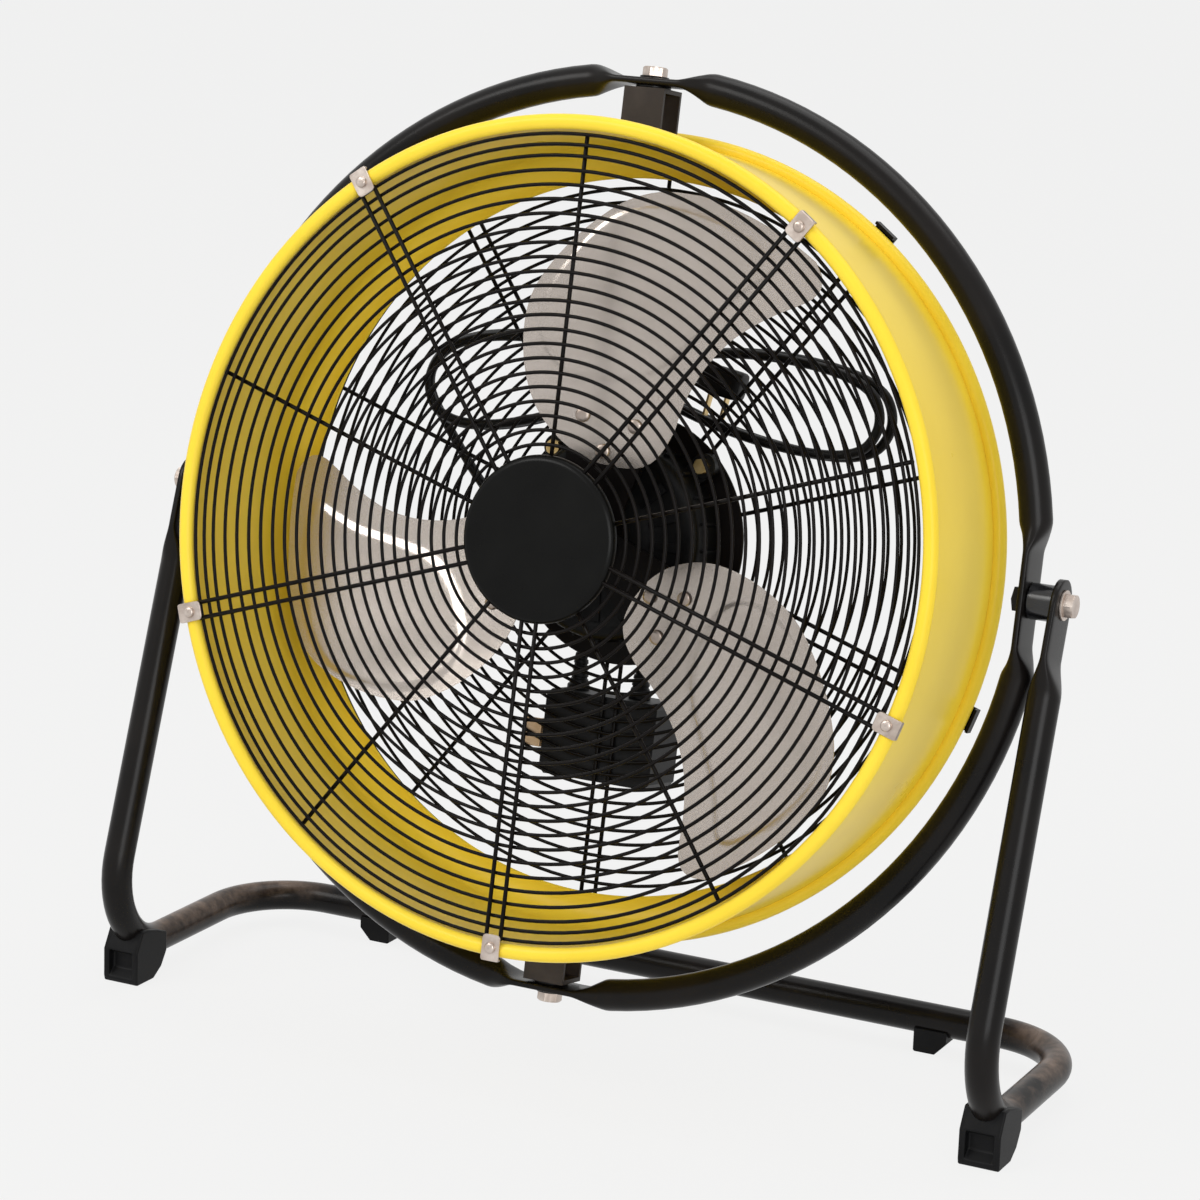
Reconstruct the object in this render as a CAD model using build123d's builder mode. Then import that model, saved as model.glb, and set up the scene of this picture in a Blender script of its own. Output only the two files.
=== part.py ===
from build123d import *
import os
from math import asin, atan2, cos, degrees, radians, sin, sqrt, tan

os.makedirs("parts", exist_ok=True)

# ---------------------------------------------------------------- driving sizes (mm)
# the fan as a whole
pivot_height = 357.0  # side pivots above the floor
pivot_y = 16.6  # side pivots behind the middle of the footprint
tilt = 10.0  # how far the top leans back as it stands

# drum
drum_radius = 272.0  # outside radius of the drum wall
bead_outer = drum_radius + 8  # outside radius of both rolled beads
bead_wire = 5.2  # half the thickness of a rolled bead
sheet = 1.6  # drum sheet
front_bead = 92.0  # bead centres ahead of the pivot
rear_bead = -32.5
inlet_radius = drum_radius - 24  # rear opening
inlet_curve = 19.0  # radius of the inlet's turned-in wall

# guards
wire = 2.4  # ring wire, drawn with a square section
spoke = 3.0
ring_pitch = 9.5
front_ring_face = front_bead + 2.5  # front face of the front rings
rear_ring_face = rear_bead - 5.8  # front face of the rear rings
pair_gap = 10.7  # between the two wires of a double spoke
double_angle = 54.0  # first double spoke, then every 72 degrees
single_angle = 18.0
rim_ring = drum_radius - 5  # outermost front ring
rear_rim = rim_ring - 2  # outermost rear ring
spoke_end = rim_ring + 1  # outer end of the double spokes

# yoke ring
ring_radius = drum_radius + 40
ring_tube = 11.0
strip = 5.0  # thickness of a crushed length of tube
strip_width = 32.0
side_strip = ring_radius - 3.5  # middle of the crushed lengths at the sides
top_strip = ring_radius - 1.5
side_flat = 30.0  # half length of a crushed flat
top_flat = 22.0

# stand
stand_tube = 11.0
leg_x = side_strip + 22.5
foot_front = 117.0  # where leg and floor lines meet, ahead of the pivot
floor_back = 103.0  # rear cross tube behind the pivot
floor_height = 22.0
foot_bend = 57.0
rear_bend = 60.0
ear_radius = 16.5
ear_length = 34.0
ear_blend = 28.0

# bolts
bolt = 5.0  # shank radius
pin_play = 0.1  # running fit round a bolt
bore_fit = 1.09  # an eight-sided bore is this much wider at its corners than its pin
body_gap = 0.3  # between bodies that pass each other
washer = 1.5
hex_head = 6.5

# motor
motor_radius = 70.0
motor_front = -2.0
cover_radius = motor_radius - 9
cover_back = -76.0
shaft = 6.0
ear_circle = motor_radius + 10
bearing_out = 15.0
bearing_depth = 9.0

# blades
tip_radius = drum_radius - 29
blade_sheet = 2.0
arm_sheet = 3.0
blade_centre = 84.0  # first blade's centre line, then every 120 degrees

# power cord
cord = 3.5  # radius
layer_step = 9.0
hank_back = -79.0

# ---------------------------------------------------------------- frames
lean = radians(tilt)
fan_centre = Vector(0, pivot_y, pivot_height)
fan_forward = Vector(0, -cos(lean), sin(lean))
fan_up = Vector(0, sin(lean), cos(lean))
spin_axis = Axis(fan_centre, fan_forward)


def at(x, ahead, up):
    """A point given in the leaning frame of the drum."""
    return fan_centre + Vector(x, 0, 0) + fan_forward * ahead + fan_up * up


def face_plane(ahead):
    """A plane across the fan's axis, facing forward."""
    return Plane(origin=at(0, ahead, 0), x_dir=(1, 0, 0), z_dir=fan_forward)


def top_plane(up):
    """A plane across the swivel axis, facing up."""
    return Plane(origin=at(0, 0, up), x_dir=(1, 0, 0), z_dir=fan_up)


def side_plane(x):
    """A plane across the tilt axis, facing +X, with the fan's up as its y."""
    return Plane(origin=(x, pivot_y, pivot_height), x_dir=-fan_forward, z_dir=(1, 0, 0))


def radial(angle):
    return Vector(1, 0, 0) * cos(radians(angle)) + fan_up * sin(radians(angle))


def radial_plane(angle):
    """A plane through the fan's axis: x runs outward, y runs forward."""
    outward = radial(angle)
    return Plane(origin=fan_centre, x_dir=outward, z_dir=outward.cross(fan_forward))


turn_plane = radial_plane(0)


def small_round(radius, cut=Mode.ADD):
    """The edge of a small round piece, drawn with eight sides."""
    RegularPolygon(radius, 8, mode=cut)


def hoop(radius, sides):
    """A closed many-sided path round the fan's axis; its flats touch this circle."""
    corner = radius / cos(radians(180 / sides))
    turns = [radians(360 / sides * (k + 0.5)) for k in range(sides)]
    with BuildLine(face_plane(0)) as path:
        Polyline((radius, 0), *[(corner * cos(a), corner * sin(a)) for a in turns], (radius, 0))
    return path.wires()[0]


def arc_runs(centre, arm, axis_way, turn, parts):
    """Corners of straight runs that touch an arc, from the arc's first arm onward."""
    half = turn / parts / 2
    longer = arm / cos(radians(half))
    return [
        centre + longer.rotate(Axis(centre, axis_way), half * (2 * k + 1)) for k in range(parts)
    ]


def bent_path(points, radii, parts):
    """A path whose rounded corners are short straight runs."""
    points = [Vector(*p) for p in points]
    spots = [points[0]]
    for before, here, after, radius in zip(points, points[1:], points[2:], radii):
        inward = (before - here).normalized()
        onward = (after - here).normalized()
        turn = 180 - inward.get_angle(onward)
        centre = here + (inward + onward).normalized() * (radius / cos(radians(turn / 2)))
        arm = here + inward * (radius * tan(radians(turn / 2))) - centre
        spots += arc_runs(centre, arm, arm.cross(-inward), turn, parts)
    with BuildLine() as path:
        Polyline(*spots, points[-1])
    return path.wires()[0]


def finish(piece, label):
    piece.part.label = label
    export_step(piece.part, "parts/" + label + ".step")


# ---------------------------------------------------------------- stand frame
foot_y = pivot_y - foot_front
back_y = pivot_y + floor_back
leg_angle = atan2(foot_front, pivot_height - floor_height)
leg_up = Vector(0, sin(leg_angle), cos(leg_angle))
tube_top = ear_length + ear_blend


def leg_plane(side, along):
    """A plane across a leg, this far down from the pivot, facing down."""
    origin = Vector(side * leg_x, pivot_y, pivot_height) - leg_up * along
    return Plane(origin=origin, x_dir=(0, cos(leg_angle), -sin(leg_angle)), z_dir=-leg_up)


def outline_face(points):
    with BuildLine() as outline:
        Polyline(*points, close=True)
    make_face(outline.edges())


def crushed_section(width, thickness):
    """A flattened tube: two flats and two narrow edges, drawn with eight sides."""
    half = width / 2
    flat = (width - thickness) / 2
    edge = thickness / 2
    upper = [(half, edge / 2), (flat, edge), (-flat, edge), (-half, edge / 2)]
    outline_face(upper + [(-x, -y) for x, y in upper])


def round_section(radius):
    """A whole tube, drawn with eight sides that match a crushed section's."""
    angles = [radians(22.5 + 45 * k) for k in range(8)]
    outline_face([(1.03 * radius * cos(a), 1.03 * radius * sin(a)) for a in angles])


with BuildPart() as stand_frame:
    leg_foot = pivot_height - floor_height
    right_top = Vector(leg_x, pivot_y, pivot_height) - leg_up * tube_top
    left_top = Vector(-leg_x, pivot_y, pivot_height) - leg_up * tube_top
    stand_points = [
        (right_top.X, right_top.Y, right_top.Z),
        (leg_x, foot_y, floor_height),
        (leg_x, back_y, floor_height),
        (-leg_x, back_y, floor_height),
        (-leg_x, foot_y, floor_height),
        (left_top.X, left_top.Y, left_top.Z),
    ]
    stand_path = bent_path(stand_points, [foot_bend, rear_bend, rear_bend, foot_bend], 6)
    with BuildSketch(leg_plane(1, tube_top)):
        round_section(stand_tube)
    sweep(path=stand_path, transition=Transition.RIGHT)
    for side in (1, -1):
        with BuildSketch(leg_plane(side, ear_length)):
            crushed_section(2 * ear_radius, strip)
        with BuildSketch(leg_plane(side, tube_top)):
            round_section(stand_tube)
        loft(ruled=True)
        ear_face = Plane(
            origin=(side * leg_x, pivot_y, pivot_height), x_dir=-leg_up, z_dir=(1, 0, 0)
        )
        with BuildSketch(ear_face):
            with Locations((ear_length / 2, 0)):
                Rectangle(ear_length, 2 * ear_radius)
            RegularPolygon(ear_radius, 16)
            small_round(bolt * bore_fit, Mode.SUBTRACT)
        extrude(amount=strip / 2, both=True)
finish(stand_frame, "stand_frame")

# ---------------------------------------------------------------- front shoes
shoe_width = 29.0
shoe_front = foot_y + 24.0
shoe_back = foot_y + 64.0
shoe_height = 38.0

with BuildPart() as front_shoes:
    for side in (1, -1):
        with BuildSketch(Plane.YZ.offset(side * leg_x)):
            with BuildLine():
                Polyline(
                    (shoe_front, 0),
                    (shoe_front + 28, 0),
                    (shoe_back, 12),
                    (shoe_back, 32),
                    (shoe_back - 12, 35),
                    (shoe_front + 8, 40),
                    (shoe_front - 1, shoe_height),
                    (shoe_front, 0),
                )
            make_face()
        extrude(amount=shoe_width / 2, both=True)
        # moulded window in the front wall
        with BuildSketch(Plane.XZ.offset(-shoe_front)):
            with Locations((side * leg_x, 14)):
                Rectangle(18, 18)
        extrude(amount=-6, both=True, mode=Mode.SUBTRACT)
    with BuildSketch(leg_plane(1, tube_top)):
        round_section(stand_tube)
    sweep(path=stand_path, transition=Transition.RIGHT, mode=Mode.SUBTRACT)
finish(front_shoes, "front_shoes")

# ---------------------------------------------------------------- rear pads
pad_x = leg_x - 114

with BuildPart() as rear_pads:
    for side in (1, -1):
        with BuildSketch(Plane.XZ.offset(-back_y)):
            with BuildLine():
                Polyline(
                    (side * pad_x - 10, 0),
                    (side * pad_x + 9, 0),
                    (side * pad_x + 16, 9),
                    (side * pad_x + 16, 17),
                    (side * pad_x - 15, 17),
                    (side * pad_x - 15, 6),
                    (side * pad_x - 10, 0),
                )
            make_face()
        extrude(amount=12, both=True)
    with BuildSketch(Plane(origin=(0, back_y, floor_height), x_dir=(0, 1, 0), z_dir=(1, 0, 0))):
        round_section(stand_tube)
    extrude(amount=leg_x - 80, both=True, mode=Mode.SUBTRACT)
finish(rear_pads, "rear_pads")

# ---------------------------------------------------------------- side pivots
bush_start = side_strip + strip / 2 + body_gap
bush_end = leg_x - strip / 2
ear_out = leg_x + strip / 2
nut_in = side_strip - strip / 2 - body_gap
nut_height = 5.5

with BuildPart() as pivot_bushes:
    for side in (1, -1):
        with BuildSketch(side_plane(side * bush_start)):
            small_round(12)
            small_round(bolt * bore_fit, Mode.SUBTRACT)
        extrude(amount=side * (bush_end - bush_start))
finish(pivot_bushes, "pivot_bushes")

with BuildPart() as pivot_washers:
    for side in (1, -1):
        with BuildSketch(side_plane(side * ear_out)):
            small_round(10)
            small_round(bolt * bore_fit, Mode.SUBTRACT)
        extrude(amount=side * washer)
finish(pivot_washers, "pivot_washers")

with BuildPart() as pivot_bolts:
    for side in (1, -1):
        with BuildSketch(side_plane(side * (ear_out + washer))):
            RegularPolygon(8.5, 6)
        extrude(amount=side * hex_head)
        with BuildSketch(side_plane(side * (nut_in - nut_height))):
            small_round(bolt)
        extrude(amount=side * (ear_out + washer - nut_in + nut_height))
finish(pivot_bolts, "pivot_bolts")

with BuildPart() as pivot_nuts:
    for side in (1, -1):
        with BuildSketch(side_plane(side * nut_in)):
            RegularPolygon(9, 6)
            small_round(bolt * bore_fit, Mode.SUBTRACT)
        extrude(amount=-side * nut_height)
finish(pivot_nuts, "pivot_nuts")

# ---------------------------------------------------------------- yoke ring
side_round = 52.0  # where the tube is whole again, from the middle of a flat
top_round = 46.0
side_turn = degrees(asin(side_round / ring_radius))
top_turn = degrees(asin(top_round / ring_radius))


def tube_plane(angle):
    """A plane across the ring's tube; x runs along the fan's axis."""
    along = radial(angle + 90)
    origin = fan_centre + radial(angle) * ring_radius
    return Plane(origin=origin, x_dir=fan_forward, z_dir=along)


def flat_plane(angle, reach, offset):
    """A plane across a crushed flat's end, square to the flat."""
    along = radial(angle + 90)
    origin = fan_centre + radial(angle) * reach + along * offset
    return Plane(origin=origin, x_dir=fan_forward, z_dir=along)


with BuildPart() as yoke_ring:
    for start, end in ((0, 90), (90, 180), (180, 270), (270, 360)):
        first = side_turn if start % 180 == 0 else top_turn
        last = top_turn if start % 180 == 0 else side_turn
        ends = [radial(start + first) * ring_radius, radial(start + 90 - last) * ring_radius]
        runs = arc_runs(fan_centre, ends[0], fan_forward, 90 - first - last, 7)
        with BuildLine() as quarter:
            Polyline(fan_centre + ends[0], *runs, fan_centre + ends[1])
        with BuildSketch(tube_plane(start + first)):
            round_section(ring_tube)
        sweep(path=quarter.wires()[0], transition=Transition.RIGHT)
    for angle, reach, flat, turn in (
        (0, side_strip, side_flat, side_turn),
        (90, top_strip, top_flat, top_turn),
        (180, side_strip, side_flat, side_turn),
        (270, top_strip, top_flat, top_turn),
    ):
        for end in (1, -1):
            with BuildSketch(flat_plane(angle, reach, end * flat)):
                crushed_section(strip_width, strip)
            with BuildSketch(tube_plane(angle + end * turn)):
                round_section(ring_tube)
            loft(ruled=True)
        with BuildSketch(flat_plane(angle, reach, -flat)):
            crushed_section(strip_width, strip)
        extrude(amount=2 * flat)
    # clearance holes for the pivot and swivel bolts
    for side in (1, -1):
        with BuildSketch(side_plane(side * side_strip)):
            small_round((bolt + pin_play) * bore_fit)
        extrude(amount=strip, both=True, mode=Mode.SUBTRACT)
        with BuildSketch(top_plane(side * top_strip)):
            small_round(bolt * bore_fit)
        extrude(amount=strip, both=True, mode=Mode.SUBTRACT)
finish(yoke_ring, "yoke_ring")

# ---------------------------------------------------------------- swivel bolts, washers, nuts
strip_out = top_strip + strip / 2
strip_in = top_strip - strip / 2
web_top = strip_in - washer - body_gap
web = 3.0
swivel_nut_top = web_top - web - body_gap
swivel_nut = 8.0

with BuildPart() as swivel_washers:
    for side in (1, -1):
        with BuildSketch(top_plane(side * strip_out)):
            small_round(10)
            small_round(bolt * bore_fit, Mode.SUBTRACT)
        extrude(amount=side * washer)
        with BuildSketch(top_plane(side * strip_in)):
            small_round(12)
            small_round(bolt * bore_fit, Mode.SUBTRACT)
        extrude(amount=-side * washer)
finish(swivel_washers, "swivel_washers")

with BuildPart() as swivel_bolts:
    for side in (1, -1):
        with BuildSketch(top_plane(side * (strip_out + washer))):
            RegularPolygon(8.5, 6)
        extrude(amount=side * hex_head)
        with BuildSketch(top_plane(side * (swivel_nut_top - swivel_nut))):
            small_round(bolt)
        extrude(amount=side * (strip_out + washer - swivel_nut_top + swivel_nut))
finish(swivel_bolts, "swivel_bolts")

with BuildPart() as swivel_nuts:
    for side in (1, -1):
        with BuildSketch(top_plane(side * swivel_nut_top)):
            RegularPolygon(9, 6)
            small_round(bolt * bore_fit, Mode.SUBTRACT)
        extrude(amount=-side * swivel_nut)
finish(swivel_nuts, "swivel_nuts")

# ---------------------------------------------------------------- drum shell
bead_centre = bead_outer - bead_wire
wall_in = drum_radius - sheet
curve_in = inlet_curve - sheet
inlet_back = rear_bead - 3.0  # rear face of the turned-in inlet
flange = 2.5  # thickness of the inlet's hemmed edge
drum_sides = 40


def bead_profile(ahead):
    """Six-sided section of a rolled bead, flat at the front and the back."""
    with Locations((bead_centre, ahead)):
        RegularPolygon(bead_wire / cos(radians(30)), 6)


bracket_holes = [(8.0, 20.0), (-8.0, 20.0), (8.0, -20.0), (-8.0, -20.0)]
screw = 2.5
clip_screw = bead_centre - 1.3  # radius of the guard clip screws' circles
rear_clip_screw = bead_centre + 0.7

with BuildPart() as drum_shell:
    with BuildSketch(turn_plane):
        with Locations(((drum_radius + wall_in) / 2, (front_bead + rear_bead) / 2)):
            Rectangle(sheet, front_bead - rear_bead)
        bead_profile(front_bead)
        bead_profile(rear_bead)
        # inlet: the wall turns in behind the blades and ends in a hemmed edge
        with BuildLine():
            start = (wall_in, inlet_back + inlet_curve)
            middle_out = (
                drum_radius - inlet_curve * (1 - cos(radians(45))),
                inlet_back + inlet_curve * (1 - sin(radians(45))),
            )
            end_out = (drum_radius - inlet_curve, inlet_back)
            Polyline(
                (drum_radius, inlet_back + inlet_curve),
                middle_out,
                end_out,
                (inlet_radius, inlet_back),
                (inlet_radius, inlet_back + flange),
                (drum_radius - inlet_curve, inlet_back + flange),
                (middle_out[0] - sheet, middle_out[1] + sheet),
                start,
                (drum_radius, inlet_back + inlet_curve),
            )
        make_face()
    sweep(path=hoop(drum_radius, drum_sides), transition=Transition.RIGHT)
    for side in (1, -1):
        with BuildSketch(top_plane(side * drum_radius)):
            with Locations(*[(x, -ahead) for x, ahead in bracket_holes]):
                RegularPolygon(screw, 6)
        extrude(amount=side * 6, both=True, mode=Mode.SUBTRACT)
    # pilot holes in the beads for the guard clip screws
    with BuildSketch(face_plane(front_bead + bead_wire)):
        with PolarLocations(clip_screw, 5, start_angle=double_angle):
            RegularPolygon(screw, 6)
    extrude(amount=-8, mode=Mode.SUBTRACT)
    with BuildSketch(face_plane(rear_bead - bead_wire)):
        with PolarLocations(rear_clip_screw, 5, start_angle=double_angle):
            RegularPolygon(screw, 6)
    extrude(amount=8, mode=Mode.SUBTRACT)
finish(drum_shell, "drum_shell")

# ---------------------------------------------------------------- swivel brackets
bracket_width = 30.0
bracket_depth = 28.0
bracket_sheet = 2.5
foot_reach = 11.5

with BuildPart() as swivel_brackets:
    for side in (1, -1):
        # hat section seen from the side: feet, walls and web
        half = bracket_depth / 2
        foot_end = half + foot_reach
        with BuildSketch(side_plane(0)):
            with BuildLine():
                Polyline(
                    (-foot_end, side * (drum_radius - 3)),
                    (foot_end, side * (drum_radius - 3)),
                    (foot_end, side * (drum_radius + bracket_sheet)),
                    (half, side * (drum_radius + bracket_sheet)),
                    (half, side * web_top),
                    (-half, side * web_top),
                    (-half, side * (drum_radius + bracket_sheet)),
                    (-foot_end, side * (drum_radius + bracket_sheet)),
                    (-foot_end, side * (drum_radius - 3)),
                )
            make_face()
            with Locations((0, side * (web_top + drum_radius - 5 - web) / 2)):
                inner_height = web_top - web - drum_radius + 5
                Rectangle(bracket_depth - 2 * bracket_sheet, inner_height, mode=Mode.SUBTRACT)
        extrude(amount=bracket_width / 2, both=True)
        with BuildSketch(top_plane(side * web_top)):
            small_round((bolt + pin_play) * bore_fit)
        extrude(amount=-side * web * 1.2, mode=Mode.SUBTRACT)
        with BuildSketch(top_plane(side * drum_radius)):
            with Locations(*[(x, -ahead) for x, ahead in bracket_holes]):
                RegularPolygon(screw, 6)
        extrude(amount=side * 6, both=True, mode=Mode.SUBTRACT)
    # the feet sit on the drum's wall
    with BuildSketch(face_plane(60)):
        RegularPolygon(drum_radius, drum_sides, major_radius=False, rotation=180 / drum_sides)
    extrude(amount=-120, mode=Mode.SUBTRACT)
finish(swivel_brackets, "swivel_brackets")

with BuildPart() as bracket_screws:
    for side in (1, -1):
        for x, ahead in bracket_holes:
            seat = drum_radius + bracket_sheet
            spot = Plane(origin=at(x, ahead, side * seat), x_dir=(1, 0, 0), z_dir=fan_up * side)
            with BuildSketch(spot):
                RegularPolygon(4.6, 6)
            extrude(amount=3)
            with BuildSketch(spot):
                RegularPolygon(screw, 6)
            extrude(amount=-bracket_sheet - sheet - 0.6)
finish(bracket_screws, "bracket_screws")

# ---------------------------------------------------------------- guards


def ring_radii(outer, inner):
    """Ring radii from the rim inward, the rim's two spaces closer than the rest."""
    radii = [outer, outer - 7.0, outer - 14.3]
    while radii[-1] - ring_pitch >= inner:
        radii.append(radii[-1] - ring_pitch)
    return radii


def ring_sketch(radii, most_sides):
    """Rings as many-sided polygons, fewer sides on the smaller ones."""
    for radius in radii:
        sides = 2 * round(most_sides * sqrt(radius / radii[0]) / 2)
        RegularPolygon(radius + wire / 2, sides)
        RegularPolygon(radius - wire / 2, sides, mode=Mode.SUBTRACT)


mount_radius = ear_circle + 8
front_radii = ring_radii(rim_ring, 60.0)
rear_radii = ring_radii(rear_rim, mount_radius + 8)

with BuildPart() as front_guard_rings:
    with BuildSketch(face_plane(front_ring_face)):
        ring_sketch(front_radii, 18)
    extrude(amount=-wire)
finish(front_guard_rings, "front_guard_rings")

with BuildPart() as rear_guard_rings:
    with BuildSketch(face_plane(rear_ring_face)):
        ring_sketch(rear_radii, 20)
    extrude(amount=-wire)
finish(rear_guard_rings, "rear_guard_rings")

cap_radius = 56.0
plate_radius = 54.0


def double_spokes(inner, outer):
    length = outer - inner
    with PolarLocations(0, 5, start_angle=double_angle):
        with Locations(((inner + outer) / 2, pair_gap / 2), ((inner + outer) / 2, -pair_gap / 2)):
            Rectangle(length, spoke)


def single_spokes(inner, outer):
    with PolarLocations((inner + outer) / 2, 5, start_angle=single_angle):
        Rectangle(outer - inner, spoke)


with BuildPart() as front_guard_spokes:
    with BuildSketch(face_plane(front_ring_face)):
        double_spokes(cap_radius - 5, spoke_end)
        RegularPolygon(cap_radius, 40, mode=Mode.SUBTRACT)
    extrude(amount=spoke)
    with BuildSketch(face_plane(front_ring_face - wire)):
        single_spokes(plate_radius - 5, rim_ring)
        RegularPolygon(plate_radius, 24, mode=Mode.SUBTRACT)
    extrude(amount=-spoke)
finish(front_guard_spokes, "front_guard_spokes")

with BuildPart() as rear_guard_spokes:
    with BuildSketch(face_plane(rear_ring_face - wire)):
        double_spokes(mount_radius - 10, spoke_end)
        single_spokes(mount_radius - 10, rear_rim)
    extrude(amount=-spoke)
finish(rear_guard_spokes, "rear_guard_spokes")

with BuildPart() as guard_plate:
    with BuildSketch(face_plane(front_ring_face - wire)):
        RegularPolygon(plate_radius, 24)
    extrude(amount=-1.2)
finish(guard_plate, "guard_plate")

with BuildPart() as centre_cap:
    with BuildSketch(face_plane(front_ring_face - wire)):
        RegularPolygon(cap_radius, 40)
    extrude(amount=7.6)
    chamfer(centre_cap.faces().sort_by(spin_axis)[-1].edges(), 2.5)
finish(centre_cap, "centre_cap")

# ---------------------------------------------------------------- guard clips
clip_angles = [double_angle + 72 * i for i in range(5)]
clip_width = 15.0
clip_sheet = 1.5
clip_in = rim_ring - 5
clip_out = bead_outer + 1
spoke_face = front_ring_face + spoke
rear_spoke_back = rear_ring_face - wire - spoke
rear_bead_back = rear_bead - bead_wire

with BuildPart() as front_clips:
    for angle in clip_angles:
        with BuildSketch(radial_plane(angle)):
            with BuildLine():
                Polyline(
                    (clip_in, spoke_face),
                    (clip_out, spoke_face),
                    (clip_out, spoke_face - 3),
                    (clip_out + clip_sheet, spoke_face - 3),
                    (clip_out + clip_sheet, spoke_face + clip_sheet),
                    (clip_in, spoke_face + clip_sheet),
                    (clip_in, spoke_face),
                )
            make_face()
        extrude(amount=clip_width / 2, both=True)
    with BuildSketch(face_plane(spoke_face)):
        with PolarLocations(clip_screw, 5, start_angle=double_angle):
            RegularPolygon(screw, 6)
    extrude(amount=4, mode=Mode.SUBTRACT)
finish(front_clips, "front_clips")

with BuildPart() as front_clip_screws:
    with BuildSketch(face_plane(spoke_face + clip_sheet)):
        with PolarLocations(clip_screw, 5, start_angle=double_angle):
            RegularPolygon(4.8, 6)
    extrude(amount=2.4)
    with BuildSketch(face_plane(spoke_face + clip_sheet)):
        with PolarLocations(clip_screw, 5, start_angle=double_angle):
            RegularPolygon(screw, 6)
    extrude(amount=-clip_sheet - 7)
finish(front_clip_screws, "front_clip_screws")

with BuildPart() as rear_clips:
    for angle in clip_angles:
        with BuildSketch(radial_plane(angle)):
            with BuildLine():
                Polyline(
                    (rear_rim - 7, rear_spoke_back),
                    (spoke_end + 0.2, rear_spoke_back),
                    (spoke_end + 0.2, rear_bead_back),
                    (clip_out, rear_bead_back),
                    (clip_out, rear_bead_back + 5),
                    (clip_out + 2, rear_bead_back + 5),
                    (clip_out + 2, rear_bead_back - 2),
                    (spoke_end + 2.2, rear_bead_back - 2),
                    (spoke_end + 2.2, rear_spoke_back - 2),
                    (rear_rim - 7, rear_spoke_back - 2),
                    (rear_rim - 7, rear_spoke_back),
                )
            make_face()
        extrude(amount=8.5, both=True)
    with BuildSketch(face_plane(rear_bead_back)):
        with PolarLocations(rear_clip_screw, 5, start_angle=double_angle):
            RegularPolygon(screw, 6)
    extrude(amount=-4, mode=Mode.SUBTRACT)
finish(rear_clips, "rear_clips")

with BuildPart() as rear_clip_screws:
    with BuildSketch(face_plane(rear_bead_back - 2)):
        with PolarLocations(rear_clip_screw, 5, start_angle=double_angle):
            RegularPolygon(4.8, 6)
    extrude(amount=-2.4)
    with BuildSketch(face_plane(rear_bead_back - 2)):
        with PolarLocations(rear_clip_screw, 5, start_angle=double_angle):
            RegularPolygon(screw, 6)
    extrude(amount=9)
finish(rear_clip_screws, "rear_clip_screws")

# ---------------------------------------------------------------- motor
mount_back = rear_ring_face - wire
motor_wall = 5.0
motor_sides = 24

with BuildPart() as mount_plate:
    with BuildSketch(face_plane(rear_ring_face)):
        RegularPolygon(mount_radius, 40)
        RegularPolygon(cover_radius + 1, motor_sides, mode=Mode.SUBTRACT)
        with PolarLocations(ear_circle, 4, start_angle=45):
            RegularPolygon(3, 6, mode=Mode.SUBTRACT)
    extrude(amount=-wire)
finish(mount_plate, "mount_plate")

with BuildPart() as motor_housing:
    with BuildSketch(face_plane(rear_ring_face)):
        RegularPolygon(motor_radius, motor_sides)
    extrude(amount=motor_front - rear_ring_face)
    chamfer(motor_housing.faces().sort_by(spin_axis)[-1].edges(), 6)
    with BuildSketch(face_plane(rear_ring_face)):
        RegularPolygon(motor_radius - motor_wall, motor_sides)
    extrude(amount=motor_front - rear_ring_face - motor_wall, mode=Mode.SUBTRACT)
    with BuildSketch(face_plane(rear_ring_face)):
        with PolarLocations(ear_circle, 4, start_angle=45):
            small_round(9)
            with Locations((-8, 0)):
                Rectangle(12, 14)
        RegularPolygon(motor_radius - 2, motor_sides, mode=Mode.SUBTRACT)
        with PolarLocations(ear_circle, 4, start_angle=45):
            RegularPolygon(3, 6, mode=Mode.SUBTRACT)
    extrude(amount=12)
    # cooling slots round the front face and the shaft hole
    with BuildSketch(face_plane(motor_front)):
        with PolarLocations(46, 8):
            Rectangle(22, 5)
        RegularPolygon(bearing_out * 1.005, 16)
    extrude(amount=-motor_wall - 1, mode=Mode.SUBTRACT)
finish(motor_housing, "motor_housing")

with BuildPart() as motor_cover:
    with BuildSketch(face_plane(rear_ring_face + 3)):
        RegularPolygon(motor_radius - motor_wall, motor_sides)
    extrude(amount=-3)
    with BuildSketch(face_plane(rear_ring_face)):
        RegularPolygon(cover_radius, motor_sides)
    extrude(amount=cover_back - rear_ring_face)
    chamfer(motor_cover.faces().sort_by(spin_axis)[0].edges(), 8)
    with BuildSketch(face_plane(rear_ring_face + 3)):
        RegularPolygon(cover_radius - 4, motor_sides)
    extrude(amount=cover_back + 9 - rear_ring_face - 3, mode=Mode.SUBTRACT)
    with BuildSketch(face_plane(cover_back + 9)):
        RegularPolygon(cover_radius - 9, motor_sides)
    extrude(amount=-5, mode=Mode.SUBTRACT)
    with BuildSketch(face_plane(cover_back)):
        with PolarLocations(36, 6):
            Rectangle(18, 5)
    extrude(amount=4, mode=Mode.SUBTRACT)
    # cup that carries the rear bearing
    with BuildSketch(face_plane(cover_back + 4)):
        RegularPolygon(18, 16)
        RegularPolygon(bearing_out * 1.005, 16, mode=Mode.SUBTRACT)
    extrude(amount=8)
finish(motor_cover, "motor_cover")

with BuildPart() as motor_screws:
    head_seat = rear_ring_face + 12
    with BuildSketch(face_plane(head_seat)):
        with PolarLocations(ear_circle, 4, start_angle=45):
            RegularPolygon(5.8, 6)
    extrude(amount=4.5)
    with BuildSketch(face_plane(head_seat)):
        with PolarLocations(ear_circle, 4, start_angle=45):
            RegularPolygon(3, 6)
    extrude(amount=-(12 + wire + 6))
finish(motor_screws, "motor_screws")

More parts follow.
